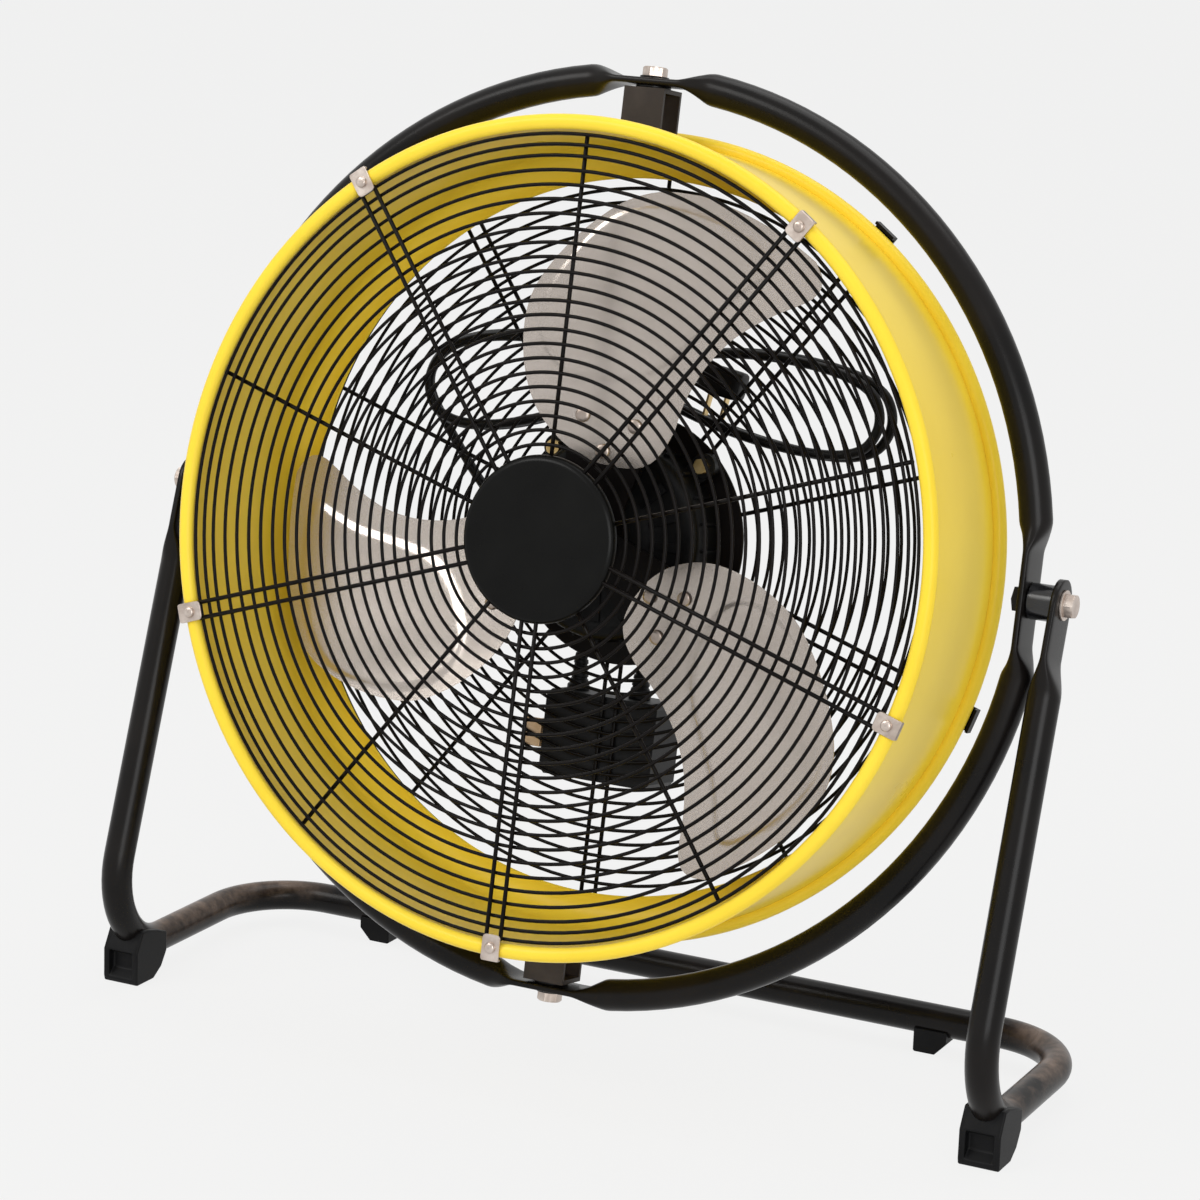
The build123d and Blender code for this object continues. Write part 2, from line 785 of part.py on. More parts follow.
with BuildPart() as motor_nuts:
    with BuildSketch(face_plane(mount_back)):
        with PolarLocations(ear_circle, 4, start_angle=45):
            RegularPolygon(5.8, 6)
            RegularPolygon(3, 6, mode=Mode.SUBTRACT)
    extrude(amount=-5)
finish(motor_nuts, "motor_nuts")

core_front = motor_front - motor_wall - 5
core_depth = 22.0
with BuildPart() as stator_core:
    with BuildSketch(face_plane(core_front)):
        RegularPolygon(motor_radius - motor_wall, motor_sides)
        RegularPolygon(39.6, motor_sides, mode=Mode.SUBTRACT)
        with PolarLocations(43, 6):
            Rectangle(9, 6, mode=Mode.SUBTRACT)
    extrude(amount=-core_depth)
finish(stator_core, "stator_core")

with BuildPart() as bearings:
    for front in (motor_front, cover_back + 4 + bearing_depth):
        with BuildSketch(face_plane(front)):
            RegularPolygon(bearing_out, 16)
            small_round(shaft * bore_fit, Mode.SUBTRACT)
        extrude(amount=-bearing_depth)
finish(bearings, "bearings")

with BuildPart() as rotor_core:
    with BuildSketch(face_plane(core_front)):
        RegularPolygon(38.2, motor_sides)
        small_round(shaft * bore_fit, Mode.SUBTRACT)
    extrude(amount=-core_depth)
finish(rotor_core, "rotor_core")

shaft_front = 34.0
with BuildPart() as motor_shaft:
    with BuildSketch(face_plane(shaft_front)):
        small_round(shaft)
    extrude(amount=-(shaft_front - cover_back - 4.5))
finish(motor_shaft, "motor_shaft")

# ---------------------------------------------------------------- blades and spider
# the blade is a sheet bent about a line that runs outward; its section is one arc
# across the blade, low at the leading edge and high at the trailing edge
sheet_points = ((-135.0, 5.0), (-25.0, 16.0), (80.0, 44.0))


def blade_frame(angle):
    """A plane across a blade's centre line: x runs across the blade, y forward."""
    outward = radial(angle)
    across = radial(angle + 90)
    return Plane(origin=fan_centre, x_dir=across, z_dir=across.cross(fan_forward))


def bent_section(lower, thickness):
    """The bent sheet's section, this far behind the blade's front face."""
    near = [(x, y - lower) for x, y in sheet_points]
    far = [(x, y - lower - thickness) for x, y in sheet_points]
    with BuildLine() as outline:
        ThreePointArc(*near)
        Line(near[2], far[2])
        ThreePointArc(far[2], far[1], far[0])
        Line(far[0], near[0])
    make_face(outline.edges())


def sheet_bend():
    """Centre and radius of the arc through the three points of the section."""
    (x1, y1), (x2, y2), (x3, y3) = sheet_points
    twice = 2 * (x1 * (y2 - y3) + x2 * (y3 - y1) + x3 * (y1 - y2))
    s1 = x1 * x1 + y1 * y1
    s2 = x2 * x2 + y2 * y2
    s3 = x3 * x3 + y3 * y3
    mid_x = (s1 * (y2 - y3) + s2 * (y3 - y1) + s3 * (y1 - y2)) / twice
    mid_y = (s1 * (x3 - x2) + s2 * (x1 - x3) + s3 * (x2 - x1)) / twice
    return mid_x, mid_y, sqrt((x1 - mid_x) ** 2 + (y1 - mid_y) ** 2)


def rivet_plane(angle, out, across):
    """A plane on the blade's front face, square to the bent sheet."""
    mid_x, mid_y, bend = sheet_bend()
    sideways = radial(angle + 90)
    height = mid_y - sqrt(bend * bend - (across - mid_x) ** 2)
    origin = fan_centre + radial(angle) * out + sideways * across + fan_forward * height
    normal = sideways * (mid_x - across) + fan_forward * (mid_y - height)
    return Plane(origin=origin, x_dir=radial(angle), z_dir=normal)


rivet_spots = [(81, 21), (81, -15), (60, 3)]


def outline_plane(angle):
    outward = radial(angle)
    return Plane(origin=fan_centre, x_dir=outward, z_dir=fan_forward)


# seen from the front: x outward along the centre line, y across, in shares of the tip radius
leading_edge = [(0.346, -0.156), (0.477, -0.218), (0.617, -0.337), (0.798, -0.568), (1.235, -0.247)]
trailing_edge = [(1.078, 0.247), (0.856, 0.313), (0.658, 0.321), (0.461, 0.284), (0.305, 0.189)]
with BuildSketch() as blade_shape:
    with BuildLine():
        edge = [(x * tip_radius, y * tip_radius) for x, y in leading_edge + trailing_edge]
        Polyline((52, -19), *edge, (52, 19), close=True)
    make_face()
    Circle(tip_radius, mode=Mode.INTERSECT)
    fillet(blade_shape.vertices().sort_by(Axis.Y)[0], 12)
    fillet(blade_shape.vertices().sort_by(Axis.X)[-2:].sort_by(Axis.Y)[-1], 36)
    fillet(blade_shape.vertices().sort_by(Axis.X)[:2], 9)

for letter, angle in (("a", blade_centre), ("b", blade_centre + 120), ("c", blade_centre + 240)):
    with BuildPart() as fan_blade:
        with BuildSketch(blade_frame(angle)):
            bent_section(0, blade_sheet)
        extrude(amount=300, both=True)
        with BuildSketch(outline_plane(angle)):
            add(blade_shape.sketch)
        extrude(amount=80, both=True, mode=Mode.INTERSECT)
        for out, across in rivet_spots:
            with BuildSketch(rivet_plane(angle, out, across)):
                RegularPolygon(screw, 6)
            extrude(amount=8, both=True, mode=Mode.SUBTRACT)
    finish(fan_blade, "fan_blade_" + letter)

hub_front = 24.0
hub_back = 4.0
# three arms bent like the blades, cut to a tapered outline
arms = []
for i in range(3):
    angle = blade_centre + 120 * i
    with BuildPart() as arm:
        with BuildSketch(blade_frame(angle)):
            bent_section(blade_sheet, arm_sheet)
        extrude(amount=110, both=True)
        with BuildSketch(outline_plane(angle)):
            with BuildLine():
                Polyline((10, -16), (70, -26), (92, -24), (92, 30), (70, 32), (10, 16), close=True)
            make_face()
        extrude(amount=60, both=True, mode=Mode.INTERSECT)
        for out, across in rivet_spots:
            with BuildSketch(rivet_plane(angle, out, across)):
                RegularPolygon(screw, 6)
            extrude(amount=8, both=True, mode=Mode.SUBTRACT)
    arms.append(arm.part)

with BuildPart() as spider:
    add(arms)
    with BuildSketch(face_plane(hub_front)):
        RegularPolygon(21, 16)
    extrude(amount=hub_back - hub_front)
    with BuildSketch(face_plane(hub_front)):
        small_round(shaft * bore_fit)
    extrude(amount=hub_back - hub_front, mode=Mode.SUBTRACT)
finish(spider, "blade_spider")


with BuildPart() as blade_rivets:
    for i in range(3):
        for out, across in rivet_spots:
            spot = rivet_plane(blade_centre + 120 * i, out, across)
            with BuildSketch(spot.offset(0.04)):
                RegularPolygon(5, 6)
            extrude(amount=1.2)
            with BuildSketch(spot.offset(0.04)):
                RegularPolygon(screw, 6)
            extrude(amount=-blade_sheet - arm_sheet - 1)
finish(blade_rivets, "blade_rivets")

with BuildPart() as hub_nut:
    with BuildSketch(face_plane(hub_front)):
        RegularPolygon(10, 6)
        small_round(shaft * bore_fit, Mode.SUBTRACT)
    extrude(amount=7)
finish(hub_nut, "hub_nut")

# ---------------------------------------------------------------- control box
box_left = -50.0
box_right = 36.0
box_low = -172.0
box_high = -112.0
box_front = rear_spoke_back
box_depth = 38.0
box_wall = 2.5
box_mid = ((box_left + box_right) / 2, (box_low + box_high) / 2)
box_size = (box_right - box_left, box_high - box_low)

with BuildPart() as control_box:
    with BuildSketch(face_plane(box_front)):
        with Locations(box_mid):
            Rectangle(*box_size)
    extrude(amount=-box_depth)
    chamfer(control_box.edges().filter_by(spin_axis), 4)
    with BuildSketch(face_plane(box_front - box_wall)):
        with Locations(box_mid):
            Rectangle(box_size[0] - 2 * box_wall, box_size[1] - 2 * box_wall)
    extrude(amount=-box_depth, mode=Mode.SUBTRACT)
    # cable holes in the upper wall
    with BuildSketch(top_plane(box_high)):
        with Locations((-36, 64), (12, 64)):
            small_round(5.5)
    extrude(amount=4, both=True, mode=Mode.SUBTRACT)
finish(control_box, "control_box")

cover_face = box_front - box_depth
knob_x = -8.0
knob_up = -142.0
spindle = 3.0
with BuildPart() as box_cover:
    with BuildSketch(face_plane(cover_face)):
        with Locations(box_mid):
            Rectangle(*box_size)
    extrude(amount=-3)
    chamfer(box_cover.edges().filter_by(spin_axis), 4)
    with BuildSketch(face_plane(cover_face)):
        with Locations((knob_x, knob_up)):
            small_round(spindle + 1)
        with Locations((box_left + 8, box_mid[1]), (box_right - 8, box_mid[1])):
            RegularPolygon(1.8, 6)
    extrude(amount=-3, mode=Mode.SUBTRACT)
finish(box_cover, "box_cover")

with BuildPart() as box_screws:
    for x in (box_left + 8, box_right - 8):
        with BuildSketch(face_plane(cover_face - 3)):
            with Locations((x, box_mid[1])):
                RegularPolygon(3.2, 8)
        extrude(amount=-2)
        with BuildSketch(face_plane(cover_face - 3)):
            with Locations((x, box_mid[1])):
                RegularPolygon(1.8, 6)
        extrude(amount=12)
finish(box_screws, "box_screws")

with BuildPart() as speed_switch:
    with BuildSketch(face_plane(cover_face)):
        with Locations((knob_x, knob_up)):
            Rectangle(26, 26)
            small_round(spindle * bore_fit, Mode.SUBTRACT)
    extrude(amount=16)
finish(speed_switch, "speed_switch")

with BuildPart() as speed_knob:
    with BuildSketch(face_plane(cover_face - 3 - body_gap)):
        with Locations((knob_x, knob_up)):
            RegularPolygon(14, 16)
    extrude(amount=-4)
    with BuildSketch(face_plane(cover_face - 3 - body_gap - 4)):
        with Locations((knob_x, knob_up)):
            RegularPolygon(11, 16)
    extrude(amount=-11)
    # grip bar across the knob
    with BuildSketch(face_plane(cover_face - 3 - body_gap - 15)):
        with Locations((knob_x, knob_up)):
            Rectangle(5, 20)
    extrude(amount=-3)
    with BuildSketch(face_plane(cover_face - 3 - body_gap)):
        with Locations((knob_x, knob_up)):
            small_round(spindle)
    extrude(amount=15)
finish(speed_knob, "speed_knob")

with BuildPart() as capacitor:
    with BuildSketch(face_plane(box_front - box_wall)):
        with Locations((22, -142)):
            Rectangle(16, 40)
    extrude(amount=-26)
finish(capacitor, "capacitor")

# zinc ear that ties the box to the guard
with BuildPart() as box_clip:
    ear_face_up = top_plane(-144)
    with BuildSketch(ear_face_up):
        with BuildLine():
            Polyline(
                (box_left, -(mount_back - 12)),
                (box_left, -mount_back),
                (box_left - 12, -mount_back),
                (box_left - 12, -(mount_back - 1.5)),
                (box_left - 1.5, -(mount_back - 1.5)),
                (box_left - 1.5, -(mount_back - 18)),
                (box_left, -(mount_back - 18)),
                (box_left, -(mount_back - 12)),
            )
        make_face()
    extrude(amount=10, both=True)
finish(box_clip, "box_clip")

# ---------------------------------------------------------------- motor lead and glands
lead_x = 12.0
lead_ahead = -64.0
gland_x = -36.0

with BuildPart() as lead_grommet:
    with BuildSketch(top_plane(box_high - box_wall)):
        with Locations((lead_x, -lead_ahead)):
            small_round(5.5)
            small_round(4, Mode.SUBTRACT)
    extrude(amount=box_wall)
    with BuildSketch(top_plane(box_high)):
        with Locations((lead_x, -lead_ahead)):
            small_round(8)
            small_round(4, Mode.SUBTRACT)
    extrude(amount=3)
finish(lead_grommet, "lead_grommet")

lead_top = -sqrt(cover_radius**2 - lead_x**2)
with BuildPart() as motor_lead:
    with BuildSketch(top_plane(box_high - 8)):
        with Locations((lead_x, -lead_ahead)):
            small_round(4)
    extrude(amount=lead_top - box_high + 7.6)
finish(motor_lead, "motor_lead")

with BuildPart() as cord_gland:
    with BuildSketch(top_plane(box_high - box_wall)):
        with Locations((gland_x, -lead_ahead)):
            small_round(5.5)
    extrude(amount=box_wall)
    with BuildSketch(top_plane(box_high)):
        with Locations((gland_x, -lead_ahead)):
            small_round(8)
    extrude(amount=4)
    with BuildSketch(top_plane(box_high + 4)):
        with Locations((gland_x, -lead_ahead)):
            small_round(6)
    extrude(amount=14)
finish(cord_gland, "cord_gland")

# ---------------------------------------------------------------- power cord


def corner_radii(points, largest):
    """Each arc is as large as its two runs allow."""
    radii = []
    for before, here, after in zip(points, points[1:], points[2:]):
        turn = (here - before).get_angle(after - here)
        run = min((here - before).length, (after - here).length)
        radii.append(min(largest, 0.45 * run / tan(radians(turn) / 2)))
    return radii


def route_length(points, radii):
    length = sum((b - a).length for a, b in zip(points, points[1:]))
    for before, here, after, radius in zip(points, points[1:], points[2:], radii):
        turn = radians((here - before).get_angle(after - here))
        length += radius * (turn - 2 * tan(turn / 2))
    return length


def tube(points, radii, sides):
    """A faceted tube along straight runs joined by tangent arcs."""
    with BuildLine() as route:
        FilletPolyline(*points, radius=radii)
    with BuildSketch(Plane(origin=points[0], z_dir=points[1] - points[0])) as section:
        RegularPolygon(cord, sides)
    sweep(section.sketch, path=route.wires()[0])
    return route.wires()[0]


# the bundle seen from the front: left end, upper run, right end, lower run,
# both runs drawn in where the tie holds them
tie_x = -20.0
loop = [
    (-195, 92),
    (-172, 124),
    (-100, 134),
    (tie_x, 122),
    (62, 140),
    (158, 130),
    (176, 99),
    (156, 70),
    (66, 77),
    (tie_x, 105),
    (-104, 66),
    (-172, 60),
]
hank_turns = 2
steps = len(loop)
plug_angle = -10.0
plug_along = radial(plug_angle)
plug_centre = at(50, hank_back + layer_step * (hank_turns + 0.25), 115)
plug_half = 16.0

hank_points = [at(-146, hank_back + 3, 32), at(-170, hank_back + 1, 58)]
for i in range(steps * hank_turns + 4):
    turn = i // steps
    x, up = loop[i % steps]
    inward = 1 - 0.03 * turn
    climb = hank_back + layer_step * i / steps
    hank_points.append(at((x - tie_x) * inward + tie_x, climb, (up - 100) * inward + 100))
hank_points.append(plug_centre - plug_along * (plug_half + 32))
hank_points.append(plug_centre - plug_along * plug_half)

hank_radii = corner_radii(hank_points, 260)
with BuildPart() as cord_hank:
    hank_route = tube(hank_points, hank_radii, 6)
finish(cord_hank, "cord_hank")

gland_top = box_high + 18
tail_end = hank_points[0]
tail_points = [
    at(gland_x, lead_ahead, gland_top),
    at(gland_x, lead_ahead, gland_top + 16),
    at(gland_x - 10, lead_ahead - 2, -50),
    at(-76, lead_ahead - 6, -22),
    tail_end + (hank_points[0] - hank_points[1]) * 0.9,
    tail_end,
]
tail_radii = corner_radii(tail_points, 200)
with BuildPart() as cord_tail:
    tube(tail_points, tail_radii, 6)
finish(cord_tail, "cord_tail")

# ---------------------------------------------------------------- plug and tie
with BuildPart() as plug_body:
    with BuildSketch(Plane(origin=plug_centre, x_dir=plug_along, z_dir=fan_forward)):
        Rectangle(2 * plug_half, 20)
    extrude(amount=8, both=True)
    chamfer(plug_body.edges().filter_by(Axis(plug_centre, fan_forward)), 4)
finish(plug_body, "plug_body")

pins_down = radial(plug_angle - 90)
with BuildPart() as plug_pins:
    for x in (-6.4, 6.4):
        foot = plug_centre + plug_along * x + pins_down * 10
        with BuildSketch(Plane(origin=foot, x_dir=plug_along, z_dir=pins_down)):
            Rectangle(1.6, 6.4)
        extrude(amount=16)
finish(plug_pins, "plug_pins")

# the tie goes round the bundle and through the guard, between its rings
tie_low = 88.6
tie_high = 130.4
tie_front = rear_ring_face + 1.6
tie_rear = hank_back - 6
tie_sheet = 1.4
with BuildPart() as cord_tie:
    with BuildSketch(side_plane(tie_x)):
        with Locations((-(tie_front + tie_rear) / 2, (tie_low + tie_high) / 2)):
            Rectangle(tie_front - tie_rear, tie_high - tie_low)
            Rectangle(
                tie_front - tie_rear - 2 * tie_sheet,
                tie_high - tie_low - 2 * tie_sheet,
                mode=Mode.SUBTRACT,
            )
    extrude(amount=3, both=True)
finish(cord_tie, "cord_tie")

# ---------------------------------------------------------------- printed measures
section = 0.5 * 6 * cord**2 * sin(radians(60))
for name, points, radii, piece in (
    ("hank", hank_points, hank_radii, cord_hank),
    ("tail", tail_points, tail_radii, cord_tail),
):
    length = route_length(points, radii)
    print(name, "radii", [round(r, 1) for r in radii], "length", round(length, 1))
    print(name, "volume", round(piece.part.volume), "section x length", round(section * length))

# least gap of the bundle to itself, between points along its middle line that
# are more than four diameters apart along the cord
hank_length = route_length(hank_points, hank_radii)
spots = 500
beads = [hank_route.position_at(i / spots) for i in range(spots + 1)]
apart = int(8 * cord * spots / hank_length) + 1
gap = min(
    (beads[i] - beads[j]).length
    for i in range(spots + 1)
    for j in range(i + apart, spots + 1)
)
print("hank least gap to itself", round(gap - 2 * cord, 2))
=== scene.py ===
"""The drum fan of the photograph: shapes, materials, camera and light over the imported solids."""
from math import asin, atan2, copysign, cos, degrees, pi, radians, sin, sqrt, tan

import bmesh
import bpy
from mathutils import Matrix, Vector


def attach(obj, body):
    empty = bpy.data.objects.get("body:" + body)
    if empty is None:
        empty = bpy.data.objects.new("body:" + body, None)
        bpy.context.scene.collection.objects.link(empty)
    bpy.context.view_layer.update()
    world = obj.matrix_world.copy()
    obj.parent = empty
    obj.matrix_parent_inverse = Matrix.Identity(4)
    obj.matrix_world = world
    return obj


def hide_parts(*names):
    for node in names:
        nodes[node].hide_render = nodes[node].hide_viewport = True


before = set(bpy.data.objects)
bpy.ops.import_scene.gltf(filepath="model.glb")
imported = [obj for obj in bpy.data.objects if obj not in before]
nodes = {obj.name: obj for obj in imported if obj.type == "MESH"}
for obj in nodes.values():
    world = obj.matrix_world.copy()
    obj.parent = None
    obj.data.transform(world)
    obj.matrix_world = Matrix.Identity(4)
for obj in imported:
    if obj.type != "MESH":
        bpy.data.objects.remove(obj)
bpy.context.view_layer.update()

# ---------------------------------------------------------------- the fan's leaning frame
MM = 0.001
LEAN = radians(10)
PIVOT_Y, PIVOT_Z = 16.6, 357
PIVOT = Vector((0, PIVOT_Y, PIVOT_Z)) * MM
FORWARD = Vector((0, -cos(LEAN), sin(LEAN)))
UP = Vector((0, sin(LEAN), cos(LEAN)))
RIGHT = Vector((1, 0, 0))


def at(x, ahead, up):
    """A point of the leaning frame, given in millimetres from the pivot."""
    return PIVOT + (RIGHT * x + FORWARD * ahead + UP * up) * MM


def axes(x_axis, y_axis, z_axis, origin):
    """A matrix with the given axes and origin."""
    m = Matrix((x_axis, y_axis, z_axis)).transposed().to_4x4()
    m.translation = origin
    return m


FAN = axes(RIGHT, UP, FORWARD, PIVOT)


def radial(angle):
    """The direction at an angle in degrees round the fan's axis."""
    return RIGHT * cos(radians(angle)) + UP * sin(radians(angle))


def round_the_axis(count, first=0):
    """Outward and sideways directions of evenly spaced places round the fan's axis."""
    for k in range(count):
        angle = first + 360 * k / count
        yield radial(angle), radial(angle + 90)


def spot(x, ahead, up, out):
    """A frame at a point, with its z along out."""
    z = Vector(out).normalized()
    x_axis = z.orthogonal().normalized()
    return axes(x_axis, z.cross(x_axis), z, at(x, ahead, up))


# ---------------------------------------------------------------- camera at the photograph's angle
AZIMUTH, ELEVATION, ROLL = radians(26.38), radians(13.54), radians(2.09)
PHOTO_PIXELS, FOCAL_PIXELS, SENSOR = 1200, 3738.78, 36
AIM = Vector((-0.00032, PIVOT.y, 0.31258))
DISTANCE = 2.56083

back = Vector((sin(AZIMUTH) * cos(ELEVATION), -cos(AZIMUTH) * cos(ELEVATION), sin(ELEVATION)))
level = Vector((cos(AZIMUTH), sin(AZIMUTH), 0))
rise = back.cross(level)
camera_data = bpy.data.cameras.new("camera")
camera_data.lens = FOCAL_PIXELS / PHOTO_PIXELS * SENSOR
camera_data.sensor_width = SENSOR
camera_data.shift_x = 0.00058
camera_data.shift_y = 0.00136
camera_data.clip_start = 0.05
camera_data.clip_end = 50
camera = bpy.data.objects.new("camera", camera_data)
camera.matrix_world = axes(
    level * cos(ROLL) + rise * sin(ROLL),
    rise * cos(ROLL) - level * sin(ROLL),
    back,
    AIM + back * DISTANCE,
)
bpy.context.collection.objects.link(camera)
bpy.context.scene.camera = camera

# ---------------------------------------------------------------- material tools
DRIFT_DARK, DRIFT_PALE = 0.35, 0.68  # noise levels at which a material is all dark and all pale
GRAIN_DEPTH = 0.0004  # metres


def new_material(name):
    """A material with its node tree and its shader."""
    material = bpy.data.materials.new(name)
    material.use_nodes = True
    tree = material.node_tree
    return material, tree, tree.nodes["Principled BSDF"]


def noise(tree, scale, detail, rough):
    where = tree.nodes.new("ShaderNodeTexCoord")
    n = tree.nodes.new("ShaderNodeTexNoise")
    n.inputs["Scale"].default_value = scale
    n.inputs["Detail"].default_value = detail
    n.inputs["Roughness"].default_value = rough
    tree.links.new(where.outputs["Object"], n.inputs["Vector"])
    return n.outputs["Fac"]


def ramp(tree, source, stops):
    """Colour stops (place, colour) along the source."""
    r = tree.nodes.new("ShaderNodeValToRGB")
    for element, (place, colour) in zip(r.color_ramp.elements, stops):
        element.position = place
        element.color = (*colour, 1)
    tree.links.new(source, r.inputs["Fac"])
    return r.outputs["Color"]


def spread(tree, source, low, high):
    """Maps the source from 0..1 to low..high."""
    m = tree.nodes.new("ShaderNodeMapRange")
    m.inputs["To Min"].default_value = low
    m.inputs["To Max"].default_value = high
    tree.links.new(source, m.inputs["Value"])
    return m.outputs["Result"]


def between(tree, source, start, end):
    """0 where the source is at start and 1 at end, held there beyond them."""
    m = tree.nodes.new("ShaderNodeMapRange")
    m.inputs["From Min"].default_value = start
    m.inputs["From Max"].default_value = end
    tree.links.new(source, m.inputs["Value"])
    return m.outputs["Result"]


def times(tree, a, b):
    m = tree.nodes.new("ShaderNodeMath")
    m.operation = "MULTIPLY"
    tree.links.new(a, m.inputs[0])
    tree.links.new(b, m.inputs[1])
    return m.outputs[0]


def bump(tree, shader, source, strength, distance):
    b = tree.nodes.new("ShaderNodeBump")
    b.inputs["Strength"].default_value = strength
    b.inputs["Distance"].default_value = distance
    tree.links.new(source, b.inputs["Height"])
    tree.links.new(b.outputs["Normal"], shader.inputs["Normal"])


def surface(name, dark, pale, rough, metallic=0.0, scale=14, grain=900, height=0.08, specular=0.5):
    """Colour that drifts between two tones, roughness that follows, and a fine grain."""
    material, tree, shader = new_material(name)
    drift = noise(tree, scale, 4, 0.6)
    tone = ramp(tree, drift, [(DRIFT_DARK, dark), (DRIFT_PALE, pale)])
    tree.links.new(tone, shader.inputs["Base Color"])
    tree.links.new(spread(tree, drift, *rough), shader.inputs["Roughness"])
    shader.inputs["Metallic"].default_value = metallic
    shader.inputs["Specular IOR Level"].default_value = specular
    bump(tree, shader, noise(tree, grain, 2, 0.5), height, GRAIN_DEPTH)
    return material


def scuff_and_highlight(material):
    """Wears the stand's paint to brown and paints brownish highlights, in patches on the upper side of its
    floor runs.
    """
    tree = material.node_tree
    shader = tree.nodes["Principled BSDF"]
    where = tree.nodes.new("ShaderNodeTexCoord")
    split = tree.nodes.new("ShaderNodeSeparateXYZ")
    tree.links.new(where.outputs["Object"], split.inputs[0])
    sideways = tree.nodes.new("ShaderNodeMath")
    sideways.operation = "ABSOLUTE"
    tree.links.new(split.outputs["X"], sideways.inputs[0])

    upper_side = between(tree, split.outputs["Z"], 0.019, 0.032)
    near_floor = between(tree, split.outputs["Z"], 0.052, 0.036)
    at_the_sides = between(tree, sideways.outputs[0], 0.262, 0.300)
    behind_the_legs = between(tree, split.outputs["Y"], -0.046, -0.030)
    floor_runs = times(tree, times(tree, upper_side, near_floor), times(tree, at_the_sides, behind_the_legs))
    # patches on the upper side of the floor runs: worn paint and painted brown highlight together
    scuffs_and_highlights = times(tree, floor_runs, between(tree, noise(tree, 22, 5, 0.65), 0.36, 0.58))

    # the browns stand for worn paint and for painted highlights
    worn_and_highlight_browns = [(DRIFT_DARK, (0.050, 0.034, 0.026)), (DRIFT_PALE, (0.200, 0.145, 0.112))]
    brown_wear_and_highlight = ramp(tree, noise(tree, 60, 4, 0.6), worn_and_highlight_browns)
    wear_and_highlight_mix = tree.nodes.new("ShaderNodeMixRGB")
    paint = shader.inputs["Base Color"].links[0].from_socket
    tree.links.new(scuffs_and_highlights, wear_and_highlight_mix.inputs["Fac"])
    tree.links.new(paint, wear_and_highlight_mix.inputs["Color1"])
    tree.links.new(brown_wear_and_highlight, wear_and_highlight_mix.inputs["Color2"])
    tree.links.new(wear_and_highlight_mix.outputs["Color"], shader.inputs["Base Color"])


# ---------------------------------------------------------------- materials
tube_looks = {
    "dark": (0.0032, 0.0029, 0.0028), "pale": (0.0092, 0.0074, 0.0066), "rough": (0.22, 0.34),
    "scale": 9, "grain": 1400, "height": 0.06, "specular": 0.16,
}
tube_black = surface("tube_black", **tube_looks)
stand_black = surface("stand_black", **tube_looks)
# brown wear and painted highlights on the upper side of the stand's floor runs
scuff_and_highlight(stand_black)
# lighter, brownish paint for the brackets: painted light standing in for their lit front face
bracket_black_with_painted_light = surface("bracket_black_with_painted_light", (0.0260, 0.0200, 0.0170), (0.0520, 0.0420, 0.0360), (0.34, 0.48),
                        scale=26, grain=1400, height=0.10, specular=0.20)
wire_black = surface("wire_black", (0.0022, 0.0016, 0.0014), (0.0052, 0.0038, 0.0034), (0.30, 0.42),
                     scale=20, specular=0.10)
plastic_black = surface("plastic_black", (0.0040, 0.0040, 0.0044), (0.0090, 0.0090, 0.0095), (0.44, 0.60),
                        scale=30, grain=2200, height=0.2, specular=0.20)
cap_black = surface("cap_black", (0.0020, 0.0020, 0.0018), (0.0034, 0.0034, 0.0030), (0.24, 0.32),
                    scale=25, grain=2600, height=0.06, specular=0.12)
motor_black = surface("motor_black", (0.0022, 0.0022, 0.0024), (0.0052, 0.0052, 0.0054), (0.36, 0.5),
                      scale=40, grain=1600, height=0.25, specular=0.14)
rubber_black = surface("rubber_black", (0.0026, 0.0022, 0.0022), (0.0060, 0.0054, 0.0050), (0.36, 0.50),
                       scale=35, grain=1800, height=0.08, specular=0.16)
shoe_black = surface("shoe_black", (0.0032, 0.0032, 0.0035), (0.0070, 0.0070, 0.0074), (0.40, 0.54),
                     scale=30, grain=2200, height=0.15, specular=0.12)
bush_black = surface("bush_black", (0.0040, 0.0040, 0.0048), (0.0080, 0.0080, 0.0092), (0.14, 0.24),
                     scale=30, grain=2200, height=0.04, specular=0.6)
yellow_paint = surface("yellow_paint", (0.85, 0.605, 0.040), (0.91, 0.670, 0.056), (0.24, 0.34),
                       scale=7, grain=500, height=0.04, specular=0.14)
blade_metal = surface("blade_metal", (0.55, 0.490, 0.440), (0.69, 0.620, 0.565), (0.15, 0.30),
                      metallic=0.85, scale=5, grain=220, height=0.012)
zinc_metal = surface("zinc_metal", (0.45, 0.37, 0.32), (0.66, 0.58, 0.52), (0.24, 0.44),
                     metallic=0.9, scale=90, grain=1200, height=0.15)
brass_metal = surface("brass_metal", (0.52, 0.36, 0.14), (0.74, 0.56, 0.27), (0.25, 0.4),
                      metallic=1.0, scale=80)
ear_metal = surface("ear_metal", (0.50, 0.33, 0.18), (0.68, 0.49, 0.31), (0.30, 0.46),
                    metallic=0.55, scale=60)
core_metal = surface("core_metal", (0.35, 0.35, 0.36), (0.5, 0.5, 0.5), (0.3, 0.45),
                     metallic=1.0, scale=60)

# ---------------------------------------------------------------- mesh tools


def add_mesh(name, bm, material, body, smooth=35):
    """Makes the mesh a piece that rides a body; edges sharper than smooth degrees stay sharp."""
    bmesh.ops.recalc_face_normals(bm, faces=bm.faces)
    mesh = bpy.data.meshes.new(name)
    bm.to_mesh(mesh)
    bm.free()
    for polygon in mesh.polygons:
        polygon.use_smooth = True
    mesh.set_sharp_from_angle(angle=radians(smooth))
    mesh.materials.append(material)
    o = bpy.data.objects.new(name, mesh)
    bpy.context.collection.objects.link(o)
    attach(o, body)
    return o


def soften(o, width, segments, angle=30):
    """Rounds the edges that are sharper than the angle; width in millimetres."""
    soft = o.modifiers.new("edge", "BEVEL")
    soft.width = width * MM
    soft.segments = segments
    soft.limit_method = "ANGLE"
    soft.angle_limit = radians(angle)


